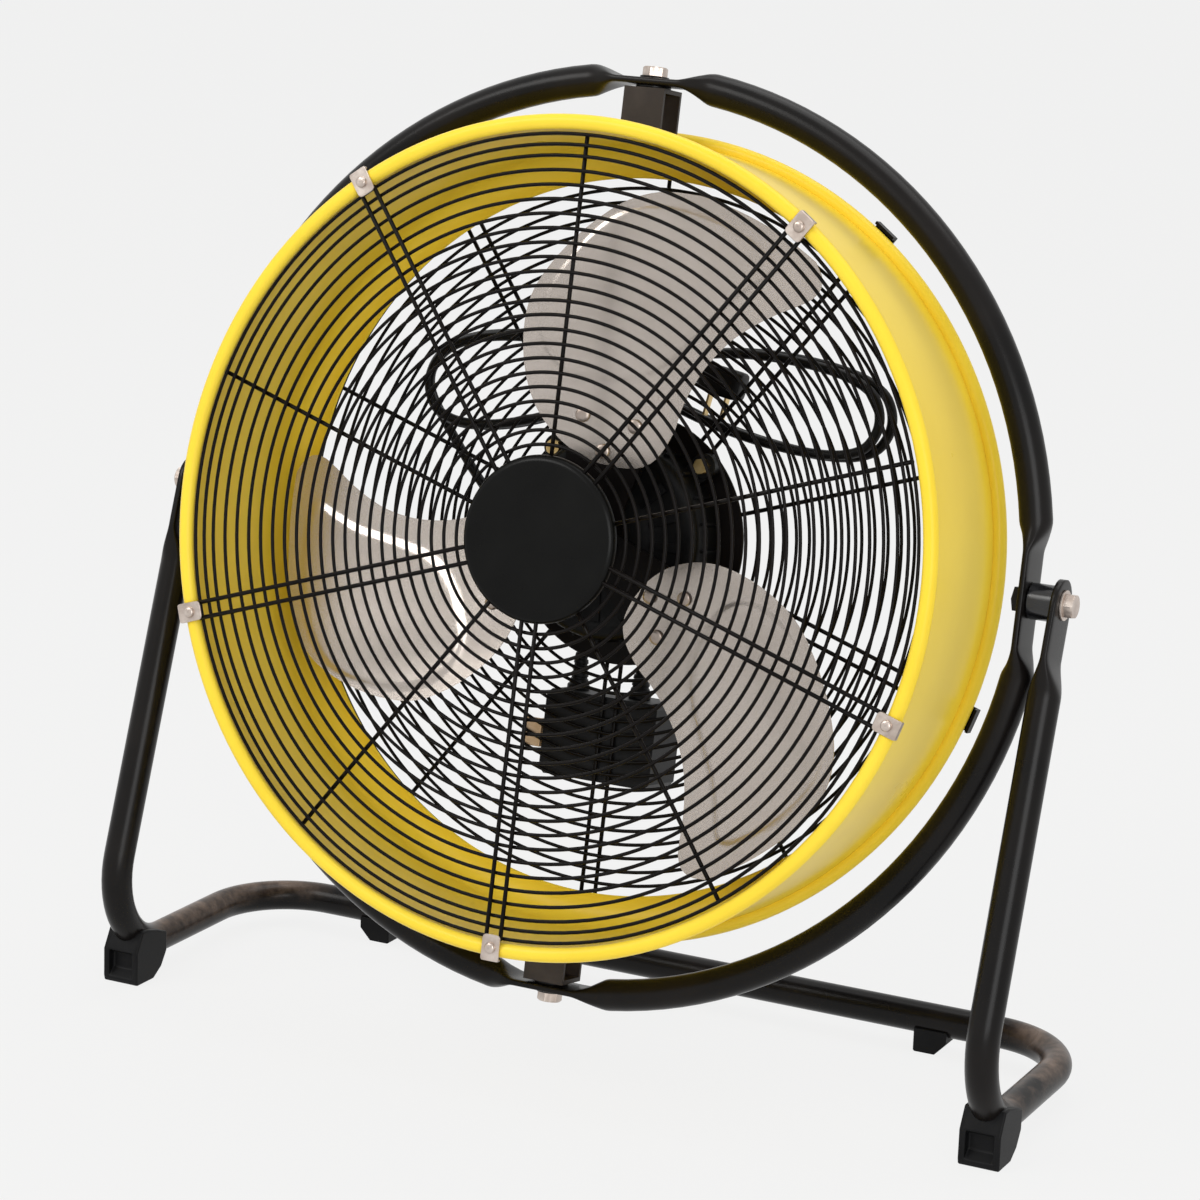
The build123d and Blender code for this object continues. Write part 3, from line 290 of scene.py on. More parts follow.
def skin(bm, rings, closed=False):
    """Joins rings of points into a surface, end to end where closed and capped where not."""
    rows = [[bm.verts.new(p) for p in ring] for ring in rings]
    count = len(rows[0])
    pairs = list(zip(rows, rows[1:]))
    if closed:
        pairs.append((rows[-1], rows[0]))
    for a, b in pairs:
        for i in range(count):
            j = (i + 1) % count
            bm.faces.new((a[i], a[j], b[j], b[i]))
    if not closed:
        bm.faces.new(rows[0])
        bm.faces.new(list(reversed(rows[-1])))


def lathe(bm, profile, segments, matrix):
    """Rows of vertices of a profile (radius, height) turned round z; a point on the axis is one vertex."""
    rows = []
    for r, z in profile:
        if r < 1e-9:
            rows.append([bm.verts.new(matrix @ Vector((0, 0, z)))])
            continue
        row = []
        for k in range(segments):
            a = 2 * pi * k / segments
            row.append(bm.verts.new(matrix @ Vector((r * cos(a), r * sin(a), z))))
        rows.append(row)
    return rows


def join_rows(bm, rows, closed):
    pairs = list(zip(rows, rows[1:]))
    if closed:
        pairs.append((rows[-1], rows[0]))
    for a, b in pairs:
        n = max(len(a), len(b))
        if n == 1:
            continue
        for i in range(n):
            j = (i + 1) % n
            if len(a) == 1:
                bm.faces.new((a[0], b[j], b[i]))
            elif len(b) == 1:
                bm.faces.new((a[i], a[j], b[0]))
            else:
                bm.faces.new((a[i], a[j], b[j], b[i]))


def turned(bm, profile, segments, matrix, closed=True):
    """A turned solid from a profile in millimetres, which ends on the axis where it isn't closed."""
    scaled = [(r * MM, z * MM) for r, z in profile]
    join_rows(bm, lathe(bm, scaled, segments, matrix), closed)


def rounded(points, radii, steps):
    """A closed outline with its corners rounded, each by its own radius."""
    out = []
    n = len(points)
    for i, (p, r) in enumerate(zip(points, radii)):
        here = Vector(p)
        before, after = Vector(points[i - 1]), Vector(points[(i + 1) % n])
        u, v = (before - here), (after - here)
        turn = pi - u.angle(v)
        cut = min(r * tan(turn / 2), 0.48 * u.length, 0.48 * v.length)
        a, b = here + u.normalized() * cut, here + v.normalized() * cut
        for k in range(steps + 1):
            t = k / steps
            out.append(a * (1 - t) ** 2 + here * 2 * t * (1 - t) + b * t * t)
    return out


def arc(radius, x, z, start, end, steps):
    """Points of an arc in a profile, angles in degrees."""
    points = []
    for k in range(steps + 1):
        a = radians(start + (end - start) * k / steps)
        points.append((x + radius * cos(a), z + radius * sin(a)))
    return points


def oval(width, thickness, power, count):
    """Points of a flattened tube's section: power 2 is round, more is flatter."""
    points = []
    for k in range(count):
        a = 2 * pi * k / count
        c, s = cos(a), sin(a)
        points.append((
            width / 2 * copysign(abs(c) ** (2 / power), c),
            thickness / 2 * copysign(abs(s) ** (2 / power), s),
        ))
    return points


def prism(bm, corners, out, side, heights):
    """A block whose corners (sideways, outward) run from one height along the fan's axis to the other."""
    skin(bm, [[at(0, z, 0) + (side * x + out * r) * MM for x, r in corners] for z in heights])


def ease(t):
    t = max(0.0, min(1.0, t))
    return t * t * (3 - 2 * t)


# ---------------------------------------------------------------- power cord
TIE_X = -20.0
HANK_BACK, LAYER_STEP, HANK_TURNS = -79.0, 9.0, 2
LOOP_MIDDLE, TURN_SHRINK, LAST_POINTS = 100, 0.03, 4
LOOP = [(-195, 92), (-172, 124), (-100, 134), (TIE_X, 122), (62, 140), (158, 130),
        (176, 99), (156, 70), (66, 77), (TIE_X, 105), (-104, 66), (-172, 60)]
GLAND_X, LEAD_AHEAD, GLAND_TOP = -36.0, -64.0, -94.0
PLUG_HALF, PLUG_RUN = 16.0, 32
CORD_RADIUS = 3.5
plug_along = radial(-10)
plug_centre = at(50, HANK_BACK + LAYER_STEP * (HANK_TURNS + 0.25), 115)

hank_start = at(-146, HANK_BACK + 3, 32)
hank_next = at(-170, HANK_BACK + 1, 58)
cord_points = [
    at(GLAND_X, LEAD_AHEAD, GLAND_TOP),
    at(GLAND_X, LEAD_AHEAD, GLAND_TOP + 16),
    at(GLAND_X - 10, LEAD_AHEAD - 2, -50),
    at(-76, LEAD_AHEAD - 6, -22),
    hank_start + (hank_start - hank_next) * 0.9,
    hank_next,
]
steps = len(LOOP)
for i in range(steps * HANK_TURNS + LAST_POINTS):
    x, up = LOOP[i % steps]
    inward = 1 - TURN_SHRINK * (i // steps)
    climb = HANK_BACK + LAYER_STEP * i / steps
    cord_points.append(at((x - TIE_X) * inward + TIE_X, climb, (up - LOOP_MIDDLE) * inward + LOOP_MIDDLE))
cord_points.append(plug_centre - plug_along * (PLUG_HALF + PLUG_RUN) * MM)
cord_points.append(plug_centre - plug_along * PLUG_HALF * MM)

cord_curve = bpy.data.curves.new("power_cord", "CURVE")
cord_curve.dimensions = "3D"
spline = cord_curve.splines.new("NURBS")
spline.points.add(len(cord_points) - 1)
for point, place in zip(spline.points, cord_points):
    point.co = (*place, 1)
spline.order_u = 3
spline.use_endpoint_u = True
spline.resolution_u = 12
cord_curve.bevel_depth = CORD_RADIUS * MM
cord_curve.bevel_resolution = 4
cord_curve.use_fill_caps = True
cord_curve.materials.append(rubber_black)
power_cord = bpy.data.objects.new("power_cord", cord_curve)
bpy.context.collection.objects.link(power_cord)
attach(power_cord, "drum")
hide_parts("cord_tail", "cord_hank")

# ---------------------------------------------------------------- drum shell
BEAD, BEAD_AT = 5.2, 274.8
FRONT_BEAD, REAR_BEAD = 92, -32.5
WALL_INSIDE, WALL_OUTSIDE = 270.4, 272
TURN_AT, TURN_AHEAD = 253, -16.5  # middle of the round by which the wall turns in to the inlet
TURN_INSIDE, TURN_OUTSIDE = 17.4, 19

bm = bmesh.new()
profile = arc(BEAD, BEAD_AT, FRONT_BEAD, -120, 210, 22)
profile += [(WALL_INSIDE, 84), (WALL_INSIDE, -14.5)]
profile += arc(TURN_INSIDE, TURN_AT, TURN_AHEAD, 0, -90, 8)[1:]
profile += [(250.4, -33.6), (248.6, -33.2), (247.6, -34.3), (248.4, -35.5), (250.5, -35.5), (TURN_AT, -35.5)]
profile += arc(TURN_OUTSIDE, TURN_AT, TURN_AHEAD, -90, -30, 5)[1:-1]
profile += arc(BEAD, BEAD_AT, REAR_BEAD, -130, 118, 18)
profile += [(WALL_OUTSIDE, -24), (WALL_OUTSIDE, 84)]
turned(bm, profile, 192, FAN)
drum = add_mesh("drum_skin", bm, yellow_paint, "drum", 50)
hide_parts("drum_shell")

# ---------------------------------------------------------------- guards
WIRE, SPOKE = 1.25, 1.5
ARMS, DOUBLE_FIRST, SINGLE_FIRST = 5, 54, 18  # spokes: how many, and the first one's angle
DOUBLE_GAP = 10.7
FIRST_GAP, SECOND_GAP, RING_GAP = 7.0, 14.3, 9.5


def ring_radii(outer, inner):
    """Two rings close to the outer one, and then even steps down to the inner radius."""
    radii = [outer, outer - FIRST_GAP, outer - SECOND_GAP]
    while radii[-1] - RING_GAP >= inner:
        radii.append(radii[-1] - RING_GAP)
    return radii


def wire_rings(name, radii, ahead, node):
    bm = bmesh.new()
    for radius in radii:
        segments = 160 if radius > 150 else 112
        section = []
        for k in range(8):
            a = 2 * pi * k / 8
            section.append((radius + WIRE * cos(a), ahead + WIRE * sin(a)))
        turned(bm, section, segments, FAN)
    o = add_mesh(name, bm, wire_black, "drum", 80)
    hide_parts(node)


def rod(bm, start, end, radius, count=10, rim=0.3):
    """A straight round rod with softly rounded ends."""
    along = (end - start).normalized()
    side = along.orthogonal().normalized()
    other = along.cross(side)
    length = (end - start).length / MM
    rings = []
    for s, r in ((0, radius - rim), (rim, radius), (length - rim, radius), (length, radius - rim)):
        ring = []
        for k in range(count):
            a = 2 * pi * k / count
            ring.append(start + along * s * MM + (side * cos(a) + other * sin(a)) * r * MM)
        rings.append(ring)
    skin(bm, rings)


def guard_spokes(name, double_ahead, single_ahead, double_reach, single_reach, node):
    """Five double spokes and five single ones between them; a reach is (from, to) from the axis."""
    bm = bmesh.new()
    doubles = round_the_axis(ARMS, DOUBLE_FIRST)
    singles = round_the_axis(ARMS, SINGLE_FIRST)
    for (out, side), (single_out, _) in zip(doubles, singles):
        base = at(0, double_ahead, 0)
        for gap in (-DOUBLE_GAP / 2, DOUBLE_GAP / 2):
            start, end = (base + (out * r + side * gap) * MM for r in double_reach)
            rod(bm, start, end, SPOKE)
        base = at(0, single_ahead, 0)
        start, end = (base + single_out * r * MM for r in single_reach)
        rod(bm, start, end, SPOKE)
    o = add_mesh(name, bm, wire_black, "drum", 60)
    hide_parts(node)


wire_rings("front_rings", ring_radii(267.0, 60.0), 93.3, "front_guard_rings")
wire_rings("rear_rings", ring_radii(265.0, 96.0), -39.5, "rear_guard_rings")
guard_spokes("front_spokes", 96.0, 90.6, (54.5, 268), (49, 267), "front_guard_spokes")
guard_spokes("rear_spokes", -42.2, -42.2, (78, 268), (78, 265), "rear_guard_spokes")

# ---------------------------------------------------------------- centre cap
CAP, CAP_ROUND = 56, 5

bm = bmesh.new()
profile = [(0, 92.1), (CAP - 0.8, 92.1), (CAP, 92.9), (CAP, 94.1)]
profile += arc(CAP_ROUND, CAP - CAP_ROUND, 94.1, 0, 90, 10)[1:]
profile += [(46, 99.3), (20, 99.65), (0, 99.7)]
turned(bm, profile, 128, FAN, closed=False)
cap = add_mesh("cap", bm, cap_black, "drum", 40)
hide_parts("centre_cap")

# ---------------------------------------------------------------- yoke ring
TUBE = 22
RING = 312.0
FLAT_WIDTH, FLAT_THICK = 32, 5
# by angle: the flat's distance from the axis, its half length, and where the tube is round again
ring_flats = {0: (308.5, 30, 52), 90: (310.5, 22, 46), 180: (308.5, 30, 52), 270: (310.5, 22, 46)}


def ring_section(centre, along, flatness):
    """One section of the ring: its width runs along the fan's axis, its thickness outward."""
    out = along.cross(FORWARD).normalized()
    w = TUBE + (FLAT_WIDTH - TUBE) * flatness
    t = TUBE + (FLAT_THICK - TUBE) * flatness
    power = 2 + 4 * flatness * flatness
    return [centre + (FORWARD * a + out * b) * MM for a, b in oval(w, t, power, 28)]


def flat_section(angle, reach, offset):
    """On a crushed flat, so far along it from its middle."""
    out, along = radial(angle), radial(angle + 90)
    return ring_section(PIVOT + (out * reach + along * offset) * MM, along, 1.0)


def blend_section(angle, reach, near, far, t, flatness):
    """Between the flat's end at near (t is 0) and the round tube at far (t is 1)."""
    out, along = radial(angle), radial(angle + 90)
    s = near + (far - near) * t
    r = reach + (sqrt(RING * RING - s * s) - reach) * ease(t)
    heading = along - out * (s / RING) * ease(t)
    return ring_section(PIVOT + (out * r + along * s) * MM, heading.normalized(), flatness)


def round_section(angle):
    return ring_section(PIVOT + radial(angle) * RING * MM, radial(angle + 90), 0.0)


rings = []
for quarter in range(4):
    start = 90 * quarter
    end = start + 90
    reach, flat, whole = ring_flats[start]
    next_reach, next_flat, next_whole = ring_flats[end % 360]
    first = degrees(asin(whole / RING))
    last = 90 - degrees(asin(next_whole / RING))
    for k in range(5):
        rings.append(flat_section(start, reach, flat * k / 5))
    for k in range(9):
        t = k / 9
        rings.append(blend_section(start, reach, flat, whole, t, 1 - ease(t)))
    for k in range(31):
        rings.append(round_section(start + first + (last - first) * k / 30))
    for k in range(1, 10):
        t = k / 9
        rings.append(blend_section(end, next_reach, -next_flat, -next_whole, 1 - t, ease(t)))
    for k in range(1, 5):
        rings.append(flat_section(end, next_reach, -next_flat * (1 - k / 5)))
bm = bmesh.new()
skin(bm, rings, closed=True)
ring = add_mesh("yoke_tube", bm, tube_black, "yoke", 60)
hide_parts("yoke_ring")

# ---------------------------------------------------------------- stand
LEG_X, FLOOR_Z = 331.0, 22.0
FOOT_AHEAD, BACK_BEHIND = 117, 103
EAR, EAR_THICK, EAR_WIDTH = 16.5, 5, 33
EAR_END, ROUND_FROM = 34, 62  # down the leg: where the ear's flat ends and the tube is round
LEG_BEND, CORNER_BEND = 57, 60
foot_y = PIVOT_Y - FOOT_AHEAD
back_y = PIVOT_Y + BACK_BEHIND
leg_lean = atan2(FOOT_AHEAD, PIVOT_Z - FLOOR_Z)
leg_up = Vector((0, sin(leg_lean), cos(leg_lean)))
leg_side = Vector((0, cos(leg_lean), -sin(leg_lean)))


def corner_route(points, radii, steps):
    """Points and headings along straight runs joined by round arcs."""
    places = [(Vector(points[0]), None)]
    for before, here, after, radius in zip(points, points[1:], points[2:], radii):
        here = Vector(here)
        u = (Vector(before) - here).normalized()
        v = (Vector(after) - here).normalized()
        turn = pi - u.angle(v)
        cut = radius * tan(turn / 2)
        a = here + u * cut
        normal = (v + u).normalized()
        centre = here + normal * (radius / cos(turn / 2))
        arm = a - centre
        axis = arm.cross(-u).normalized()
        for k in range(steps + 1):
            spin = Matrix.Rotation(turn * k / steps, 3, axis)
            places.append((centre + spin @ arm, spin @ -u))
    places.append((Vector(points[-1]), None))
    return places


def half_stand(side):
    """From one ear down the leg and along the floor to the middle of the cross tube."""
    rings = []
    top = Vector((side * LEG_X, PIVOT_Y, PIVOT_Z))
    outward = Vector((side, 0, 0))
    for s in (-16.5, -16.2, -15.2, -13.3, -10.5, -7, -3, 2, 8, 14, 20, 27, EAR_END):
        half = sqrt(max(EAR**2 - s * s, 0.7)) if s < 0 else EAR
        section = oval(2 * half, EAR_THICK, 7, 32)
        rings.append([(top - leg_up * s + leg_side * a + outward * b) * MM for a, b in section])
    for k in range(1, 11):
        t = ease(k / 10)
        s = EAR_END + (ROUND_FROM - EAR_END) * k / 10
        section = oval(EAR_WIDTH + (TUBE - EAR_WIDTH) * t, EAR_THICK + (TUBE - EAR_THICK) * t, 6 - 4 * t, 32)
        rings.append([(top - leg_up * s + leg_side * a + outward * b) * MM for a, b in section])
    corners = [
        top - leg_up * ROUND_FROM,
        (side * LEG_X, foot_y, FLOOR_Z),
        (side * LEG_X, back_y, FLOOR_Z),
        (0, back_y, FLOOR_Z),
    ]
    width = leg_side.copy()
    deep = outward.copy()
    previous = -leg_up
    section = oval(TUBE, TUBE, 2, 32)
    for place, heading in corner_route(corners, [LEG_BEND, CORNER_BEND], 18)[1:]:
        if heading is None:
            heading = Vector((-side, 0, 0))
        turn = previous.rotation_difference(heading)
        width = turn @ width
        deep = turn @ deep
        previous = heading
        rings.append([(place + width * a + deep * b) * MM for a, b in section])
    return rings


bm = bmesh.new()
skin(bm, half_stand(1))
skin(bm, half_stand(-1))
stand = add_mesh("stand_tube", bm, stand_black, "stand", 60)
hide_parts("stand_frame")

# ---------------------------------------------------------------- shoes and pads
SHOE_HALF, WINDOW_HALF, WINDOW_DEPTH = 14.4, 9.8, 7
SHOE_FRONT = -72.4


def extruded(bm, sections):
    """Joins sections (x, [(y, z), ...]) of equal length along x, in millimetres."""
    skin(bm, [[Vector((x, y, z)) * MM for y, z in points] for x, points in sections])
    bmesh.ops.remove_doubles(bm, verts=bm.verts, dist=0.001 * MM)


# a shoe seen from the side (y, z): its shell, and its front as a plain wall or sunk as a window
bm = bmesh.new()
shell = [(-64.5, 39), (-58, 39), (-45, 35.6), (-33, 31.5), (-33, 17), (-40, 6.5), (-50, 0),
         (SHOE_FRONT + 1, 0)]
wall = [(SHOE_FRONT, 4), (SHOE_FRONT, 6), (SHOE_FRONT, 22.5), (SHOE_FRONT, 24.5)]
window = [(SHOE_FRONT, 4), (SHOE_FRONT + WINDOW_DEPTH, 10), (SHOE_FRONT + WINDOW_DEPTH, 21.5),
          (SHOE_FRONT, 24.5)]
for side in (1, -1):
    middle = side * LEG_X
    extruded(bm, [
        (middle - SHOE_HALF, shell + wall),
        (middle - WINDOW_HALF, shell + wall),
        (middle - WINDOW_HALF, shell + window),
        (middle + WINDOW_HALF, shell + window),
        (middle + WINDOW_HALF, shell + wall),
        (middle + SHOE_HALF, shell + wall),
    ])
shoes = add_mesh("shoe_shells", bm, shoe_black, "stand", 30)
soften(shoes, 1.5, 3)
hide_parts("front_shoes")

PAD_X, PAD_HALF = LEG_X - 114, 11.6
PAD_PLAN = [(-5, 17.5), (-5, 1), (-4, 0), (11, 0), (19.5, 9), (19.5, 17.5)]
bm = bmesh.new()
for side in (1, -1):
    rings = []
    for y in (back_y - PAD_HALF, back_y + PAD_HALF):
        rings.append([Vector((side * (PAD_X + x), y, z)) * MM for x, z in PAD_PLAN])
    skin(bm, rings)
pads = add_mesh("pad_blocks", bm, shoe_black, "stand", 30)
soften(pads, 1.2, 3)
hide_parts("rear_pads")

# ---------------------------------------------------------------- blades
BLADE_ANGLES = {"a": 84, "b": 204, "c": 324}
SHEET = 2.0
SHEET_ACROSS = ((-135.0, 5.0), (-25.0, 16.0), (80.0, 44.0))  # the bent sheet's section passes these points
TIP, TIP_FROM, TIP_TO = 243.0, -27.6, -6.5
CREASE, STEP = 1.9, 1.4  # half width and depth of the crease round the raised panel
# blade outline seen along the axis: distance along the blade's middle line, and across it
leading = [(51.1, -2.8), (52.7, -17.9), (57, -27.6), (65.9, -35.2), (82.8, -41.2), (98.8, -43.2),
           (115.6, -47.6), (132.5, -54.6), (149.5, -65.4), (162, -77.2), (173.5, -91.4), (182.3, -105),
           (189.5, -115.2), (197.5, -120.4), (206, -119.6), (212.5, -115)]
trailing = [(239.6, -4), (233.6, 13), (224.4, 26.6), (212.7, 38), (199.9, 48.2), (184.6, 58), (170, 65.2),
            (155.6, 70.2), (140.3, 71.8), (122.7, 70.2), (106.7, 66.4), (92, 60.6), (78.6, 52.4), (67.1, 41),
            (57.9, 27), (52.6, 11.6)]
raised = [(106.9, 26.5), (107.9, 38.5), (115, 50.2), (126.9, 58.4), (140, 61), (154.1, 60.4), (169, 56.4),
          (184.2, 49.6), (198.7, 41.4), (212, 31.4), (222, 18.6), (228.4, 0), (229.4, -18), (227.6, -36),
          (223.6, -53), (217, -70), (209, -83.6), (201, -84.6), (190.5, -73.4), (176.7, -60.3),
          (159.7, -49.2), (142, -38), (126, -26), (114.5, -11), (108.4, 8)]


def circle_through(points):
    """Middle and radius of the circle through three points."""
    (x1, y1), (x2, y2), (x3, y3) = points
    twice = 2 * (x1 * (y2 - y3) + x2 * (y3 - y1) + x3 * (y1 - y2))
    q1, q2, q3 = (x * x + y * y for x, y in points)
    x = (q1 * (y2 - y3) + q2 * (y3 - y1) + q3 * (y1 - y2)) / twice
    y = (q1 * (x3 - x2) + q2 * (x1 - x3) + q3 * (x2 - x1)) / twice
    return x, y, sqrt((x1 - x) ** 2 + (y1 - y) ** 2)


bend_x, bend_y, bend = circle_through(SHEET_ACROSS)


def sheet_height(across, lower=0.0):
    """How far ahead of the pivot the sheet lies; lower goes down through its thickness."""
    return bend_y - sqrt((bend + lower) ** 2 - (across - bend_x) ** 2)


def through(points, steps):
    """A smooth line through the points, without its two ends."""
    places = [Vector(p) for p in points]
    out = []
    for p0, p1, p2, p3 in zip(places, places[1:], places[2:], places[3:]):
        for k in range(steps):
            t = k / steps
            out.append(0.5 * (2 * p1 + (p2 - p0) * t + (2 * p0 - 5 * p1 + 4 * p2 - p3) * t * t
                              + (3 * p1 - p0 - 3 * p2 + p3) * t**3))
    return out


tip = [Vector(p) for p in arc(TIP, 0, 0, TIP_FROM, TIP_TO, 24)]
outline = through([trailing[-1]] + leading + [tip[0], tip[1]], 5) + tip[:-1]
outline += through([tip[-2], tip[-1]] + trailing + [leading[0], leading[1]], 5)
raised_edge = through([raised[-1]] + raised + raised[:2], 3)


def raised_share(x, y):
    """1 on the blade's raised panel, 0 outside, with a soft crease between."""
    here = Vector((x, y))
    nearest, inside = 1e9, False
    for p, q in zip(raised_edge, raised_edge[1:] + raised_edge[:1]):
        d = q - p
        t = max(0.0, min(1.0, (here - p).dot(d) / d.dot(d)))
        nearest = min(nearest, (p + d * t - here).length)
        if (p.y > y) != (q.y > y) and x < p.x + (y - p.y) * d.x / d.y:
            inside = not inside
    return ease(0.5 + (nearest if inside else -nearest) / (2 * CREASE))


def span_at(radius):
    """Lowest and highest angle at which a circle of this radius lies in the outline."""
    hits = []
    for p, q in zip(outline, outline[1:] + outline[:1]):
        d = q - p
        a, b, c = d.dot(d), 2 * p.dot(d), p.dot(p) - radius * radius
        disc = b * b - 4 * a * c
        if a == 0 or disc < 0:
            continue
        for sign in (1, -1):
            t = (-b + sign * sqrt(disc)) / (2 * a)
            if -1e-9 <= t <= 1 + 1e-9:
                hit = p + d * t
                hits.append(atan2(hit.y, hit.x))
    return min(hits), max(hits)


COLUMNS, ROWS = 60, 66
INNER, OUTER = 61, 235  # between these radii the rows are evenly spaced
blade_radii = [51.4, 51.8, 52.6, 54, 56, 58.5] + [INNER + (OUTER - INNER) * k / ROWS for k in range(ROWS + 1)]
blade_radii += [236.5, 238, 239.4, 240.6, 241.5, 242.2, 242.8]
blade_rows = []
for r in blade_radii:
    low, high = span_at(r)
    row = []
    for k in range(COLUMNS + 1):
        a = low + (high - low) * k / COLUMNS
        x, across = r * cos(a), r * sin(a)
        row.append((x, across, STEP * (1 - raised_share(x, across))))
    blade_rows.append(row)


def rim_of(grid):
    """The vertices round a grid's edge."""
    return grid[0] + [row[-1] for row in grid[1:]] + grid[-1][-2::-1] + [row[0] for row in grid[-2:0:-1]]


def blade_mesh(angle):
    """The bent sheet of one blade, sunk beside its raised panel on the front and plain at the back."""
    bm = bmesh.new()
    out, side = radial(angle), radial(angle + 90)

    def vertex(x, across, ahead):
        return bm.verts.new(PIVOT + (out * x + side * across + FORWARD * ahead) * MM)

    front = [[vertex(x, v, sheet_height(v) - sunk) for x, v, sunk in row] for row in blade_rows]
    rear = [[vertex(x, v, sheet_height(v, SHEET)) for x, v, sunk in row] for row in blade_rows]
    for grid in (front, rear):
        for a, b in zip(grid, grid[1:]):
            for k in range(COLUMNS):
                bm.faces.new((a[k], a[k + 1], b[k + 1], b[k]))
    front_rim, rear_rim = rim_of(front), rim_of(rear)
    n = len(front_rim)
    for k in range(n):
        j = (k + 1) % n
        bm.faces.new((front_rim[k], front_rim[j], rear_rim[j], rear_rim[k]))
    return bm


for letter, angle in BLADE_ANGLES.items():
    blade = add_mesh("blade_" + letter, blade_mesh(angle), blade_metal, "rotor", 40)
    soften(blade, 0.3, 2, 50)
    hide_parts("fan_blade_" + letter)

# ---------------------------------------------------------------- rivets
RIVET_PLACES = ((81, 21), (81, -15), (60, 3))  # along the blade's middle line, and across it
RIVET = [(0, -5.8), (2.5, -5.8), (2.5, 0.05), (5, 0.05), (4.9, 0.5), (4.2, 1.0), (2.6, 1.22), (0, 1.28)]

bm = bmesh.new()
for angle in BLADE_ANGLES.values():
    out, side = radial(angle), radial(angle + 90)
    for reach, across in RIVET_PLACES:
        origin = PIVOT + (out * reach + side * across + FORWARD * sheet_height(across)) * MM
        normal = (side * (bend_x - across) + FORWARD * (bend_y - sheet_height(across))).normalized()
        turned(bm, RIVET, 24, axes(out, normal.cross(out), normal, origin), closed=False)
rivets = add_mesh("rivet_heads", bm, zinc_metal, "rotor", 50)
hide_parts("blade_rivets")

# ---------------------------------------------------------------- bolts, nuts and washers
BOLT, BOLT_HOLE, WASHER = 5, 5.2, 1.5
HEX, CROWN = 8.5, 0.88
EAR_OUT = LEG_X + 2.5
SWIVEL_OUT, SWIVEL_IN = 313.0, 308.0  # outer and inner face of the ring's upper and lower flats


def hexagon(bm, matrix, radius, low, high, chamfer=0.9):
    """A hexagonal head with its top corners turned off."""
    rings = []
    for z, r in ((low, radius), (high - chamfer, radius), (high, radius * CROWN)):
        ring = []
        for k in range(24):
            a = 2 * pi * k / 24
            flat = radius * cos(pi / 6) / cos((a + pi / 6) % (pi / 3) - pi / 6)
            d = min(flat, r)
            ring.append(matrix @ Vector((d * cos(a) * MM, d * sin(a) * MM, z * MM)))
        rings.append(ring)
    skin(bm, rings)


def shank(bm, matrix, end, start):
    """A bolt's shank from its chamfered end up to its head."""
    profile = [(0, end), (BOLT - 0.5, end), (BOLT, end + 0.5), (BOLT, start), (0, start)]
    turned(bm, profile, 24, matrix, closed=False)


def side_spot(side):
    return axes(UP, Vector((side, 0, 0)).cross(UP), Vector((side, 0, 0)), PIVOT)


def top_spot(side):
    return axes(RIGHT, (UP * side).cross(RIGHT), UP * side, PIVOT)


def washer_profile(outer, low, high):
    return [(BOLT_HOLE, low), (outer - 0.3, low), (outer, low + 0.3), (outer, high - 0.3),
            (outer - 0.3, high), (BOLT_HOLE, high)]


bm = bmesh.new()
for side in (1, -1):
    hexagon(bm, side_spot(side), HEX, EAR_OUT + WASHER, EAR_OUT + 8.0)
    shank(bm, side_spot(side), 300.2, EAR_OUT + WASHER)
pivot_bolts = add_mesh("pivot_bolt_heads", bm, zinc_metal, "stand", 30)
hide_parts("pivot_bolts")

bm = bmesh.new()
for side in (1, -1):
    turned(bm, washer_profile(10, EAR_OUT, EAR_OUT + WASHER), 40, side_spot(side))
pivot_washers = add_mesh("pivot_washer_discs", bm, zinc_metal, "stand", 30)
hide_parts("pivot_washers")

BUSH, BUSH_RIM, BUSH_IN, BUSH_OUT = 12, 0.6, 311.3, 328.5
bush_profile = [(BOLT_HOLE, BUSH_IN), (BUSH - BUSH_RIM, BUSH_IN), (BUSH, BUSH_IN + BUSH_RIM),
                (BUSH, BUSH_OUT - BUSH_RIM), (BUSH - BUSH_RIM, BUSH_OUT), (BOLT_HOLE, BUSH_OUT)]
bm = bmesh.new()
for side in (1, -1):
    turned(bm, bush_profile, 48, side_spot(side))
bushes = add_mesh("pivot_spacers", bm, bush_black, "stand", 30)
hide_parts("pivot_bushes")

bm = bmesh.new()
for side in (1, -1):
    hexagon(bm, top_spot(side), HEX, SWIVEL_OUT + WASHER, 320.9)
    shank(bm, top_spot(side), 292, SWIVEL_OUT + WASHER)
swivel_bolts = add_mesh("swivel_bolt_heads", bm, zinc_metal, "yoke", 30)
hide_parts("swivel_bolts")

bm = bmesh.new()
for side in (1, -1):
    turned(bm, washer_profile(10, SWIVEL_OUT, SWIVEL_OUT + WASHER), 40, top_spot(side))
    turned(bm, washer_profile(12, SWIVEL_IN - WASHER, SWIVEL_IN), 40, top_spot(side))
swivel_washers = add_mesh("swivel_washer_discs", bm, tube_black, "yoke", 30)
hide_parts("swivel_washers")

# ---------------------------------------------------------------- screws with pan heads
SCREW = 2.4


